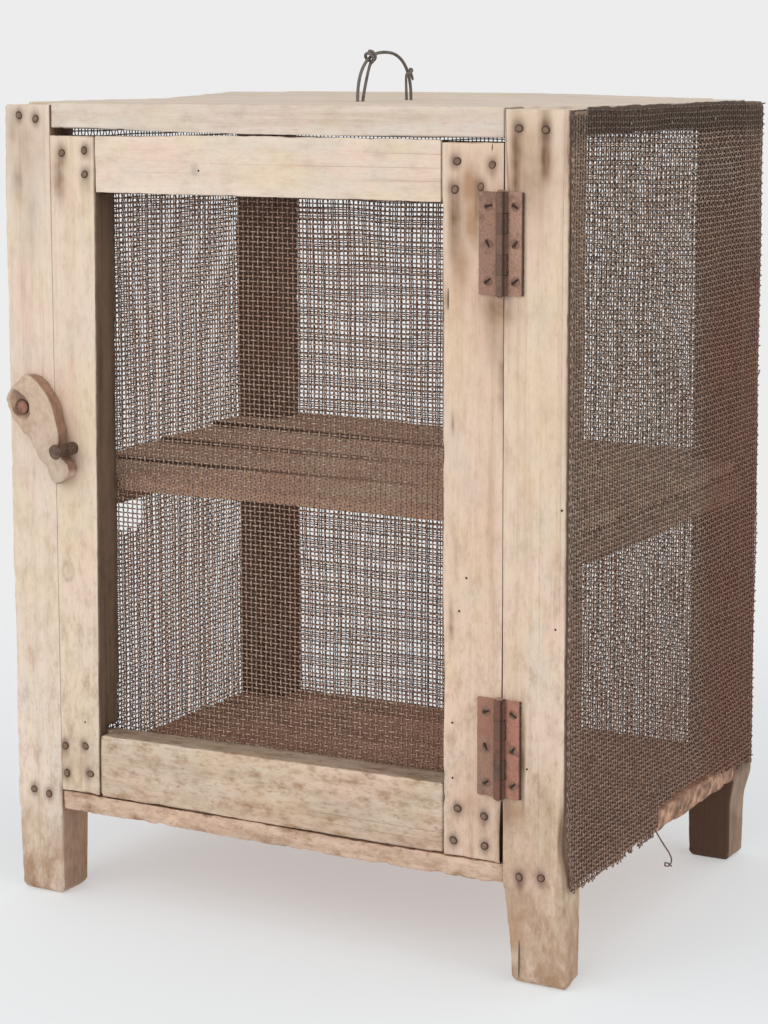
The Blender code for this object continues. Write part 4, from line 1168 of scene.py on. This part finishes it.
def trim(piece, wire, ring, gone):
    """Deletes the rings of wire whose middle is gone, and any ring that would be left on its own."""
    spots = points_of(piece)
    rings = ring.max() + 1
    index = wire * rings + ring
    count = np.maximum(np.bincount(index), 1)
    middle = np.stack([np.bincount(index, spots[:, axis]) / count for axis in range(3)], axis=1)
    kept = np.pad(~gone(middle).reshape(-1, rings), ((0, 0), (1, 1)))
    kept = kept[:, 1:-1] & (kept[:, :-2] | kept[:, 2:])
    edit(piece)
    bpy.ops.mesh.select_mode(type="VERT")
    bpy.ops.mesh.select_all(action="DESELECT")
    leave_edit()
    piece.data.vertices.foreach_set("select", ~kept[wire, ring])
    bpy.ops.object.mode_set(mode="EDIT")
    bpy.ops.mesh.delete(type="VERT")
    leave_edit()


def close_ends(piece):
    edit(piece)
    bpy.ops.mesh.fill_holes(sides=WIRE_SIDES)
    leave_edit()
    smooth(piece)


def gauze(node, body, pitch, thickness, material, seed, side, looseness=0.5, inset=0.0, gone=None, drop=0.0):
    """Woven wire cloth over a net node. side is X where the cloth is thin along X, otherwise Y."""
    low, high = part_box(node)
    low = low - Vector((0, 0, drop))
    start = (low.y if side == "X" else low.x) + inset
    width = (high.y if side == "X" else high.x) - start
    across, up = pitch
    columns = int(width / across)
    rows = int((high.z - low.z) / up)
    radius = thickness / 2
    margin_u = (width - columns * across) / 2
    margin_z = (high.z - low.z - rows * up) / 2
    level = (low.x + high.x) / 2 if side == "X" else (low.y + high.y) / 2
    out = -1 if side == "X" and level > 0 else 1
    for weft, wires, gap, steps, step in (
        (0, columns + 1, across, rows, up),
        (1, rows + 1, up, columns, across),
    ):
        piece = straight_wires(f"{node}_{'weft' if weft else 'warp'}", wires, gap, steps, step, radius)
        wire, ring = rings_of(piece, gap, step)
        flat = weave(piece, wire, ring, gap, step, radius, seed + weft, looseness)
        if weft:
            flat = np.stack([flat[:, 2], -flat[:, 1], flat[:, 0]], axis=1)
        flat[:, 0] += start + margin_u
        flat[:, 2] += low.z + margin_z
        sheet = flat * np.array([1, 0, 1])
        flat[:, 0] += looseness * GAUZE_WANDER * swell(sheet, 0.09, seed + 2)
        flat[:, 2] += looseness * GAUZE_WANDER * swell(sheet, 0.08, seed + 3)
        flat[:, 1] += out * (0.0002 + 0.0003 * np.clip(swell(sheet, 0.11, seed + 4), 0, 1.5))
        if side == "X":
            flat = np.stack([-flat[:, 1] + level, flat[:, 0], flat[:, 2]], axis=1)
        else:
            flat[:, 1] += level
        move_points(piece, flat)
        # Marks the crests of the weave, where the material paints highlights, and the troughs, where it
        # paints shade.
        paint(piece, "crest", (wire + ring + weft) % 2 == 0)
        if gone:
            trim(piece, wire, ring, gone)
        close_ends(piece)
        dress(piece, body, "rusty_net", material, *([] if weft else [node]))


def front_slant(z):
    """How far the front edge of the right-hand gauze slants back at the foot."""
    return 0.0055 * (1 - ramp_up(z, 0.055, 0.105))


def below_hem(spots):
    """What is missing from the right-hand gauze: its hem, and a slanting strip of its front edge."""
    behind = spots[:, 1] - FRONT
    hem = np.interp(behind, *zip(*TORN_HEM)) + 0.0010 * swell(spots * np.array([0, 1, 1]), 0.010, 501)
    slant = 0.0015 + front_slant(spots[:, 2])
    return (spots[:, 2] < hem) | (behind < slant) | (spots[:, 1] > BACK - 0.0014)


def left_tear(spots):
    """The hole in the left-hand gauze, under the shelf."""
    behind = (spots[:, 1] - FRONT - 0.126) / 0.021
    up = (spots[:, 2] - 0.2255) / 0.0115
    return np.hypot(behind, up) + 0.18 * swell(spots * np.array([0, 1, 1]), 0.014, 511) < 1


# The loose strand, as (distance outwards, distance behind the front, height)
STRAND = (
    (0.0000, 0.1300, 0.0625),
    (0.0000, 0.1335, 0.0585),
    (0.0008, 0.1385, 0.0525),
    (0.0016, 0.1440, 0.0465),
    (0.0022, 0.1490, 0.0415),
    (0.0024, 0.1525, 0.0370),
    (0.0020, 0.1535, 0.0340),
    (0.0012, 0.1505, 0.0320),
    (0.0004, 0.1470, 0.0332),
    (0.0000, 0.1480, 0.0350),
    (0.0004, 0.1520, 0.0335),
    (0.0010, 0.1560, 0.0305),
)
TACK_RADIUS, TACK_RISE = 0.0013, 0.0006


class FOODSAFE_OT_gauze(bpy.types.Operator):
    """Weave the door, side and back gauze"""

    bl_idname = "foodsafe.gauze"
    bl_label = "Gauze"

    def execute(self, context):
        cloth = context.scene.food_safe_gauze
        dull = gauze_material("gauze_wire", cloth)
        door = gauze_material("door_gauze_wire", cloth, 1.32, 0.70, 0.30)
        rusty = gauze_material("right_gauze_wire", cloth, 1.16, 0.6, rusty=True)
        gauze("door_net", "door", cloth.door_pitch, cloth.wire, door, 301, "Y", 0.25)
        gauze("back_net", "cabinet", cloth.back_pitch, cloth.wire, dull, 321, "Y", 0.7)
        gauze("left_net", "cabinet", cloth.side_pitch, cloth.wire, dull, 341, "X", 0.6, 0.006, left_tear)
        heavy = cloth.wire * 1.05
        torn = {"gone": below_hem, "drop": GAUZE_DROP}
        gauze("right_net", "cabinet", cloth.side_pitch, heavy, rusty, 361, "X", 0.6, **torn)
        self.selvedge(cloth, rusty)
        self.loose_strand(cloth, rusty)
        self.tacks(rust_material("tack_rust", cloth.tack, cloth.rust, mottling=300))
        return {"FINISHED"}

    def tacks(self, rust):
        """The heads that hold the side gauzes, on the left further from the front."""
        for side, way, outer, proud, least, roll in (
            ("right", "+X", 1, 0.0003, 0.0, 90),
            ("left", "-X", 0, -0.0003, 0.008, 70),
        ):
            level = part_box(f"{side}_net")[outer].x + proud
            places = [(Vector((level, FRONT + max(y, least), z)), y * roll) for y, z in SIDE_TACKS]
            heads = spread(dome("tack", TACK_RADIUS, TACK_RISE), f"{side}_tacks", places, way)
            dress(heads, "cabinet", "rusty_steel", rust)

    def selvedge(self, cloth, material):
        """The close wires along the front edge of the right-hand gauze."""
        low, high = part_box("right_net")
        gap = cloth.wire * 1.15
        step = 0.003
        steps = int((high.z - low.z) / step)
        piece = straight_wires("right_selvedge", 3, gap, steps, step, cloth.wire / 2)
        wire, ring = rings_of(piece, gap, step)
        x, y, z = points_of(piece).T
        z = z + low.z + 0.001
        back = 0.0014 + front_slant(z) + 0.0002 * np.sin(z * 61)
        level = (low.x + high.x) / 2 + 0.0004
        crest = (wire + ring) % 2
        weave_out = 0.00025 * np.where(crest, 1, -1)
        move_points(piece, np.stack([level - y + weave_out, FRONT + back + x, z], axis=1))
        # Crests of the selvedge, for the painted highlights and shade of the weave.
        paint(piece, "crest", 0.8 * crest)
        close_ends(piece)
        dress(piece, "cabinet", "rusty_net", material)

    def loose_strand(self, cloth, material):
        """One torn wire that hangs from the hem and curls at its end."""
        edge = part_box("right_net")[1].x - 0.0006
        path = [Vector((edge + out, FRONT + behind, up)) for out, behind, up in STRAND]
        turn = (path[1] - path[0]).to_track_quat("Z", "X").to_euler()
        end = {"vertices": 6, "radius": cloth.wire * 0.55, "fill_type": "NGON", "rotation": turn}
        piece = started("loose_strand", bpy.ops.mesh.primitive_circle_add, location=path[0], **end)
        edit(piece)
        for here, there in zip(path, path[1:]):
            bpy.ops.mesh.extrude_region_move(TRANSFORM_OT_translate={"value": there - here})
        bpy.ops.mesh.select_all(action="SELECT")
        bpy.ops.mesh.normals_make_consistent(inside=False)
        leave_edit()
        smooth_by_angle(piece, 60)
        # A middling crest value, so the strand gets some painted highlight and some painted shade.
        paint(piece, "crest", np.full(len(piece.data.vertices), 0.4))
        dress(piece, "cabinet", "rusty_net", material)


def dome(name, radius, rise, slim=1.0):
    """A flattened half ball that faces +Z, narrowed across X by slim."""
    piece = started(name, bpy.ops.mesh.primitive_uv_sphere_add, segments=14, ring_count=10, radius=radius)
    edit(piece)
    bpy.ops.mesh.bisect(plane_co=(0, 0, 0), plane_no=(0, 0, 1), use_fill=True, clear_inner=True)
    bpy.ops.mesh.select_all(action="SELECT")
    bpy.ops.transform.resize(value=(slim, 1, rise / radius), center_override=(0, 0, 0))
    leave_edit()
    smooth_by_angle(piece, 40)
    x, y, _ = points_of(piece).T
    paint(piece, "rim", np.hypot(x / slim, y) / radius)
    return piece


def slotted_head(name, radius, rise, slot):
    """A countersunk screw head with a slot across it, facing +Z."""
    piece = started(name, bpy.ops.mesh.primitive_cylinder_add, vertices=20, radius=radius, depth=2 * rise)
    edit(piece)
    bpy.ops.mesh.bevel(offset=rise * 0.6, segments=2, affect="EDGES")
    for edge in (-slot / 2, slot / 2):
        bpy.ops.mesh.select_all(action="SELECT")
        bpy.ops.mesh.bisect(plane_co=(edge, 0, 0), plane_no=(1, 0, 0))
    bpy.ops.mesh.select_all(action="DESELECT")
    bpy.ops.mesh.select_mode(type="FACE")
    leave_edit()
    for face in piece.data.polygons:
        face.select = face.normal.z > 0.9 and abs(face.center.x) < slot / 2
    bpy.ops.object.mode_set(mode="EDIT")
    bpy.ops.mesh.extrude_region_move(TRANSFORM_OT_translate={"value": (0, 0, -rise * 1.1)})
    leave_edit()
    smooth_by_angle(piece, 35)
    x, y, _ = points_of(piece).T
    # Painted shade: the slot is made dark, and the head darker towards its rim.
    paint(piece, "crevice_shade", 0.95 * (np.abs(x) < slot * 0.6))
    paint(piece, "rim", 0.64 * np.hypot(x, y) / radius)
    return piece


TURNS = {
    "-Y": Matrix.Rotation(math.pi / 2, 4, "X"),
    "+X": Matrix.Rotation(math.pi / 2, 4, "Y"),
    "-X": Matrix.Rotation(-math.pi / 2, 4, "Y"),
}


def spread(template, name, places, facing="-Y"):
    """Copies a template to each (place, roll), facing one way, and joins the copies into one piece."""
    copies = []
    for place, roll in places:
        copy = template.copy()
        copy.data = template.data.copy()
        bpy.context.collection.objects.link(copy)
        copy.data.transform(Matrix.Translation(place) @ TURNS[facing] @ Matrix.Rotation(roll, 4, "Z"))
        copies.append(copy)
    pick(*copies)
    if len(copies) > 1:
        bpy.ops.object.join()
    piece = bpy.context.active_object
    piece.name = name
    piece.matrix_world = Matrix.Identity(4)
    bpy.data.objects.remove(template)
    return piece


def front_places(spots, seed, sink):
    """Places on the front for rows that start with (x, z), each with a random roll."""
    draw = np.random.default_rng(seed)
    return [(Vector((x, FRONT + sink, z)), draw.uniform(0, math.tau)) for x, z, *_ in spots]


NAIL_RADIUS, NAIL_RISE, NAIL_SLIM = 0.0027, 0.0007, 0.86
HOLE_RADIUS, HOLE_RISE = 0.0007, 0.00025
SLIT_WIDTH, SLIT_RISE = 0.0007, 0.00022


class FOODSAFE_OT_nails(bpy.types.Operator):
    """Drive the nails of the posts and door corners, and lay dark discs and slits as painted shade in the
    worm holes and cracks
    """

    bl_idname = "foodsafe.nails"
    bl_label = "Nails"

    def execute(self, context):
        iron = context.scene.food_safe_iron
        timber = context.scene.food_safe_timber
        rust = rust_material("nail_rust", iron.nail, iron.hinge, mottling=300)
        stain = timber.rust_run_and_shade
        # Dark discs and slits that paint the shade inside worm holes and cracks.
        dark = rust_material("worm_hole_shade", dim(stain, 0.5), stain, mottling=300, roughness=0.95)
        for body, nails, seed in (("cabinet", POST_NAILS, 7), ("door", DOOR_NAILS, 8)):
            head = dome("nail", NAIL_RADIUS, NAIL_RISE, NAIL_SLIM)
            heads = spread(head, f"{body}_nails", front_places(nails, seed, -0.00005))
            dress(heads, body, "rusty_steel", rust)
            places = front_places([hole for hole in WORM_HOLES if hole[2] == body], seed + 2, 0.0)
            holes = spread(dome("hole", HOLE_RADIUS, HOLE_RISE), f"{body}_worm_holes", places)
            dress(holes, body, "pale_wood", dark)
            for number, (x, z, length, where) in enumerate(SLITS):
                if where == body:
                    place = [(Vector((x, FRONT + 0.00002, z)), 0.0)]
                    slit = dome("slit", length / 2, SLIT_RISE, SLIT_WIDTH / length)
                    dress(spread(slit, f"{body}_slit_{number}", place), body, "pale_wood", dark)
        return {"FINISHED"}


SCREW_RADIUS, SCREW_RISE, SCREW_SLOT = 0.0027, 0.0004, 0.0011
SCREW_SPACING = 0.021
LEAF_THICKNESS = 0.0016
KNUCKLE_EDGE = 0.0024


class FOODSAFE_OT_hinges(bpy.types.Operator):
    """Make the rusty hinges and their screws"""

    bl_idname = "foodsafe.hinges"
    bl_label = "Hinges"

    def execute(self, context):
        iron = context.scene.food_safe_iron
        brown = rust_material("hinge_rust", iron.hinge, iron.red_hinge, red=0.3)
        red = rust_material("red_hinge_rust", iron.red_hinge, dim(iron.red_hinge, 1.2), red=0.6)
        pale = rust_material("pale_hinge_rust", dim(iron.hinge, 1.2), dim(iron.hinge, 1.5), red=0.3)
        screw_rust = rust_material("hinge_screw_rust", dim(iron.hinge, 0.95), iron.red_hinge, mottling=300)
        for where, post_finish, warmth in (("upper", pale, 0.0), ("lower", red, 0.7)):
            for part, body, side, from_pin, finish in (
                ("post", "cabinet", 1, 0.0080, post_finish),
                ("door", "door", -1, -0.0091, brown),
            ):
                node = f"{where}_hinge_{part}_leaf"
                seed = 400 + 10 * len(node) + side
                leaf = self.pitted_leaf(node, seed, side, warmth * (part == "door"))
                dress(leaf, body, "rusty_steel", finish, node)
                low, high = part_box(node)
                draw = np.random.default_rng(seed)
                middle = Vector((HINGE_X + from_pin, high.y - LEAF_THICKNESS, (low.z + high.z) / 2))
                rows = [middle + Vector((0, 0, SCREW_SPACING * step)) for step in (-1, 0, 1)]
                places = [(place, draw.uniform(0, math.pi)) for place in rows]
                head = slotted_head("screw", SCREW_RADIUS, SCREW_RISE, SCREW_SLOT)
                dress(spread(head, f"{node}_screws", places), body, "rusty_steel", screw_rust)
            pin = copy_of(f"{where}_hinge_pin", f"{where}_hinge_pin_iron")
            finish_with(pin, "BEVEL", width=0.0002, segments=2, limit_method="ANGLE")
            smooth_by_angle(pin, 40)
            dress(pin, "cabinet", "rusty_steel", brown, f"{where}_hinge_pin")
        return {"FINISHED"}

    def pitted_leaf(self, node, seed, side, warmth):
        """A rust-pitted copy of a leaf, darker along its knuckles and, on the post, its outer edge: painted
        shade in the groove beside the barrel and along the raised outer edge, and a darker barrel.
        """
        leaf = copy_of(node, f"{node}_iron")
        finish_with(leaf, "REMESH", mode="VOXEL", voxel_size=0.00035, use_smooth_shade=True)
        finish_with(leaf, "SMOOTH", factor=0.5, iterations=1)
        low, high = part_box(node)
        spots = points_of(leaf)
        normals = points_of(leaf, "normal")
        x, _, z = spots.T
        from_pin = x - HINGE_X
        lift = 0.00006 * swell(spots, 0.004, seed) + 0.00005 * swell(spots, 0.0016, seed + 1)
        ends = ramp_up(np.abs(normals[:, 2]), 0.5, 0.9) * (np.abs(from_pin) < 0.0035)
        move_points(leaf, spots + normals * (lift * (1 - ends) + 0.00017 * ends)[:, None])
        paint(leaf, "warm", warmth * ramp_up(z, low.z + 0.022, low.z + 0.042))
        # Painted shade: a dark groove beside the barrel, and a shadow line along the post leaf's raised outer
        # edge; the barrel is painted darker.
        groove = near(from_pin - KNUCKLE_EDGE, 0.0012)
        barrel = 0.6 * ramp_up(from_pin, -0.0032, -0.0022) * (x < HINGE_X + KNUCKLE_EDGE)
        outside = 0.9 * ramp_up(x, high.x - 0.0012, high.x - 0.0004) * (side > 0)
        paint(leaf, "crevice_shade", np.maximum.reduce([groove, barrel, outside]))
        return leaf


# The way the arm of the turn button points, down and to the right
ARM_DOWN, ARM_ACROSS = 0.83, 0.55
BUTTON_THINNER, ARM_BROADER = 0.0036, 0.0028
CATCH_NAIL_FATTER = 0.0007


class FOODSAFE_OT_latch(bpy.types.Operator):
    """Carve the turn button and make its screw and catch nail"""

    bl_idname = "foodsafe.latch"
    bl_label = "Latch"

    def execute(self, context):
        timber = context.scene.food_safe_timber
        iron = context.scene.food_safe_iron
        brown = dim(timber.board_brown, 0.5)
        tint = (0.9, 0.86, 0.83)
        wood = timber_material("turn_button_wood", "Z", timber, brown, 71.3, tint, grime=0.0, mottle=1.4)
        dress(self.carved_button(), "latch", "pale_wood", wood, "turn_button")
        dark = rust_material("catch_nail_rust", iron.catch, iron.hinge, mottling=220, roughness=0.55)
        rust = rust_material("pivot_screw_rust", dim(iron.red_hinge, 0.85), iron.hinge, mottling=260)
        for node, body, finish, fat in (
            ("turn_button_screw", "cabinet", rust, 0.0),
            ("catch_nail", "door", dark, CATCH_NAIL_FATTER),
        ):
            piece = copy_of(node, f"{node}_iron")
            finish_with(piece, "BEVEL", width=0.0004, segments=2, limit_method="ANGLE")
            finish_with(piece, "SUBSURF", levels=2, render_levels=2)
            spots = points_of(piece)
            normals = points_of(piece, "normal")
            move_points(piece, spots + normals * (fat + 0.00012 * swell(spots, 0.005, 460))[:, None])
            smooth(piece)
            dress(piece, body, "rusty_steel", finish, node)
        return {"FINISHED"}

    def carved_button(self):
        """The turn button, thinned, hollowed round its screw and broadened along its arm."""
        button = copy_of("turn_button", "turn_button_wood")
        finish_with(button, "REMESH", mode="VOXEL", voxel_size=0.0007, use_smooth_shade=True)
        finish_with(button, "SMOOTH", factor=0.5, iterations=8)
        low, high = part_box("turn_button")
        spots = points_of(button)
        x, y, z = spots.T
        beside = x - PIVOT.x
        above = z - PIVOT.z
        across = ARM_DOWN * beside + ARM_ACROSS * above
        down = ARM_ACROSS * beside - ARM_DOWN * above
        from_pivot = np.hypot(beside, above)
        back = high.y - 0.004
        forward = np.clip((back - y) / (back - low.y), 0, 1)
        carved = spots.copy()
        carved[:, 1] += BUTTON_THINNER * forward
        shoulder = np.clip((above - 0.004) / 0.0127, 0, 1.2) ** 1.5
        carved[:, 0] -= 0.0036 * shoulder * ramp_up(x, PIVOT.x - 0.006, PIVOT.x + 0.010)
        carved[:, 0] -= 0.0022 * (1 - ramp_up(across, -0.010, -0.003)) * (1 - ramp_up(down, 0.004, 0.016))
        belly = ramp_up(down, 0.006, 0.016) * (1 - ramp_up(down, 0.032, 0.042))
        belly *= 1 - ramp_up(across, -0.006, 0.0)
        carved -= np.outer(ARM_BROADER * belly, (ARM_DOWN, 0, ARM_ACROSS))
        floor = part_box("turn_button_screw")[0].y + 0.0010
        bowl = ((across - 0.0006) / 0.0064) ** 2 + ((down + 0.0018) / 0.0112) ** 2
        hollow = 1 - ramp_up(bowl, 0.55, 1.0)
        carved[:, 1] += hollow * np.clip(floor - carved[:, 1], 0, 1)
        below = ramp_up(down, 0.012, 0.020) * (1 - ramp_up(across, -0.010, 0.000))
        carved[:, 1] += 0.0040 * forward * below
        move_points(button, carved)
        normals = points_of(button, "normal")
        lift = 0.00030 * swell(spots, 0.016, 450) + 0.00014 * swell(spots, 0.005, 451)
        lift *= ramp_up(-normals[:, 1], -0.9, -0.2) * ramp_up(from_pivot, 0.004, 0.007)
        move_points(button, carved + normals * lift[:, None])
        side = ARM_DOWN * normals[:, 0] + ARM_ACROSS * normals[:, 2]
        paint(button, "edge", ramp_up(np.abs(side), 0.3, 0.6) * ramp_up(-normals[:, 1], 0.3, 0.6))
        # Painted shade in the hollow round the screw, darkest towards the ridge on its right, through both
        # this attribute and the next, which also lays smears of dirt over the button.
        paint(button, "stain", 0.6 * hollow * ramp_up(across, -0.003, 0.004))
        paint(button, "smear_and_shadow", 0.55 * hollow + 0.15 * ramp_up(swell(spots, 0.007, 452), 0.3, 1.5))
        paint(button, "blush", 0.35 * near(from_pivot, 0.012))
        # Painted shade: the arm's right-hand side face and the undersides of the button are made brown.
        brown = np.maximum(0.12, 0.95 * ramp_up(side, 0.45, 0.85))
        paint(button, "age_and_shade", np.maximum(brown, 0.6 * ramp_up(-normals[:, 2], 0.5, 0.9)))
        return button


class FOODSAFE_OT_handle(bpy.types.Operator):
    """Make the wire handle"""

    bl_idname = "foodsafe.handle"
    bl_label = "Wire handle"

    def execute(self, context):
        iron = context.scene.food_safe_iron
        look = {"mottling": 160, "metallic": 0.3, "roughness": 0.55, "red": 0.3}
        wire = rust_material("handle_wire_iron", iron.wire, iron.hinge, **look)
        for node in ("handle_bail", "handle_tie_wire"):
            piece = copy_of(node, f"{node}_wire")
            finish_with(piece, "SUBSURF", levels=2, render_levels=2)
            smooth(piece)
            dress(piece, "cabinet", "dark_wire", wire, node)
        return {"FINISHED"}


LAMP_TARGET = Vector((0.0, 0.0, 0.25))
FLOOR_FADE = (0.45, 1.1)


class FOODSAFE_OT_stage(bpy.types.Operator):
    """Set up the floor, background, lamps and camera"""

    bl_idname = "foodsafe.stage"
    bl_label = "Stage"

    def execute(self, context):
        stage = context.scene.food_safe_stage
        context.scene.view_settings.view_transform = "Standard"
        self.make_floor(stage)
        self.make_world(context.scene, stage)
        self.make_lamp("key_lamp", (-0.5, -2.3, 1.5), 2.2, stage.key)
        self.make_lamp("fill_lamp", (2.6, -0.6, 1.3), 1.6, stage.fill)
        self.make_camera(context.scene)
        return {"FINISHED"}

    def make_floor(self, stage):
        """A disc of paper that glows a little and fades out towards its rim."""
        disc = {"vertices": 96, "radius": 3.0, "fill_type": "NGON", "location": (0, 0, -0.0002)}
        floor = started("floor", bpy.ops.mesh.primitive_circle_add, **disc)
        paper = Paintbox("floor_paper")
        floor.data.materials.append(paper.finish(stage.floor, 0.9, specular=0.1))
        paper.feed(paper.shader.inputs["Emission Color"], (1.0, 1.0, 1.0))
        paper.feed(paper.shader.inputs["Emission Strength"], stage.glow)
        away = paper.node("ShaderNodeVectorMath", {0: paper.coords}, operation="LENGTH").outputs["Value"]
        clear = paper.node("ShaderNodeBsdfTransparent")
        paper.mix_shaders(paper.fit(away, *FLOOR_FADE), paper.shader, clear, "Material Output")

    def make_world(self, scene, stage):
        """Even light, behind which camera, glass and gloss see the plain background."""
        scene.world = bpy.data.worlds.new("studio")
        scene.world.use_nodes = True
        sky = NodeTable(scene.world.node_tree)
        lit = sky.tree.nodes["Background"]
        sky.feed(lit.inputs["Color"], (1.0, 0.99, 0.98))
        sky.feed(lit.inputs["Strength"], stage.ambient)
        seen = sky.node("ShaderNodeBackground", {"Color": [stage.background] * 3})
        ray = sky.node("ShaderNodeLightPath").outputs
        plain = sky.calc("MAXIMUM", ray["Is Camera Ray"], ray["Is Transmission Ray"])
        plain = sky.calc("MAXIMUM", plain, ray["Is Glossy Ray"])
        sky.mix_shaders(plain, lit, seen, "World Output")

    def make_lamp(self, name, place, size, power):
        bpy.ops.object.light_add(type="AREA", location=place)
        lamp = bpy.context.active_object
        lamp.name = name
        lamp.data.shape = "SQUARE"
        lamp.data.size = size
        lamp.data.energy = power
        lamp.rotation_mode = "QUATERNION"
        lamp.rotation_quaternion = (LAMP_TARGET - Vector(place)).to_track_quat("-Z", "Y")

    def make_camera(self, scene):
        """The photograph's viewpoint: to the right of the door, a little above the top board."""
        place = Vector((0.78002, FRONT - 1.26545, 0.53376))
        yaw = math.radians(29.06)
        pitch = math.radians(7.763)
        roll = math.radians(-0.109)
        level = math.cos(pitch)
        forward = Vector((-math.sin(yaw) * level, math.cos(yaw) * level, -math.sin(pitch)))
        right = Vector((math.cos(yaw), math.sin(yaw), 0))
        up = right.cross(forward)
        across = math.cos(roll) * right + math.sin(roll) * up
        upward = math.cos(roll) * up - math.sin(roll) * right
        turn = Matrix((across, upward, -forward)).transposed().to_4x4()
        data = bpy.data.cameras.new("viewpoint")
        data.sensor_fit = "AUTO"
        data.sensor_width = 36.0
        data.lens = 88.662
        data.shift_y = -0.109375
        camera = bpy.data.objects.new("viewpoint", data)
        scene.collection.objects.link(camera)
        camera.matrix_world = Matrix.Translation(place) @ turn
        scene.camera = camera


STEPS = ("stage", "posts", "boards", "shelf", "door_frame", "gauze", "hinges", "nails", "latch", "handle")


class FOODSAFE_PT_panel(bpy.types.Panel):
    """The steps that dress the food safe"""

    bl_idname = "FOODSAFE_PT_panel"
    bl_label = "Food Safe"
    bl_space_type = "VIEW_3D"
    bl_region_type = "UI"
    bl_category = "Food Safe"

    def draw(self, context):
        for step in STEPS:
            self.layout.operator(f"foodsafe.{step}")


CLASSES = (
    TimberSettings,
    GauzeSettings,
    IronSettings,
    StageSettings,
    FOODSAFE_OT_stage,
    FOODSAFE_OT_posts,
    FOODSAFE_OT_boards,
    FOODSAFE_OT_shelf,
    FOODSAFE_OT_door_frame,
    FOODSAFE_OT_gauze,
    FOODSAFE_OT_hinges,
    FOODSAFE_OT_nails,
    FOODSAFE_OT_latch,
    FOODSAFE_OT_handle,
    FOODSAFE_PT_panel,
)
SETTINGS = {
    "food_safe_timber": TimberSettings,
    "food_safe_gauze": GauzeSettings,
    "food_safe_iron": IronSettings,
    "food_safe_stage": StageSettings,
}


def register():
    for cls in CLASSES:
        bpy.utils.register_class(cls)
    for name, group in SETTINGS.items():
        setattr(bpy.types.Scene, name, bpy.props.PointerProperty(type=group))


def unregister():
    for name in SETTINGS:
        delattr(bpy.types.Scene, name)
    for cls in reversed(CLASSES):
        bpy.utils.unregister_class(cls)


def main():
    register()
    for step in STEPS:
        getattr(bpy.ops.foodsafe, step)()


if __name__ == "__main__":
    main()
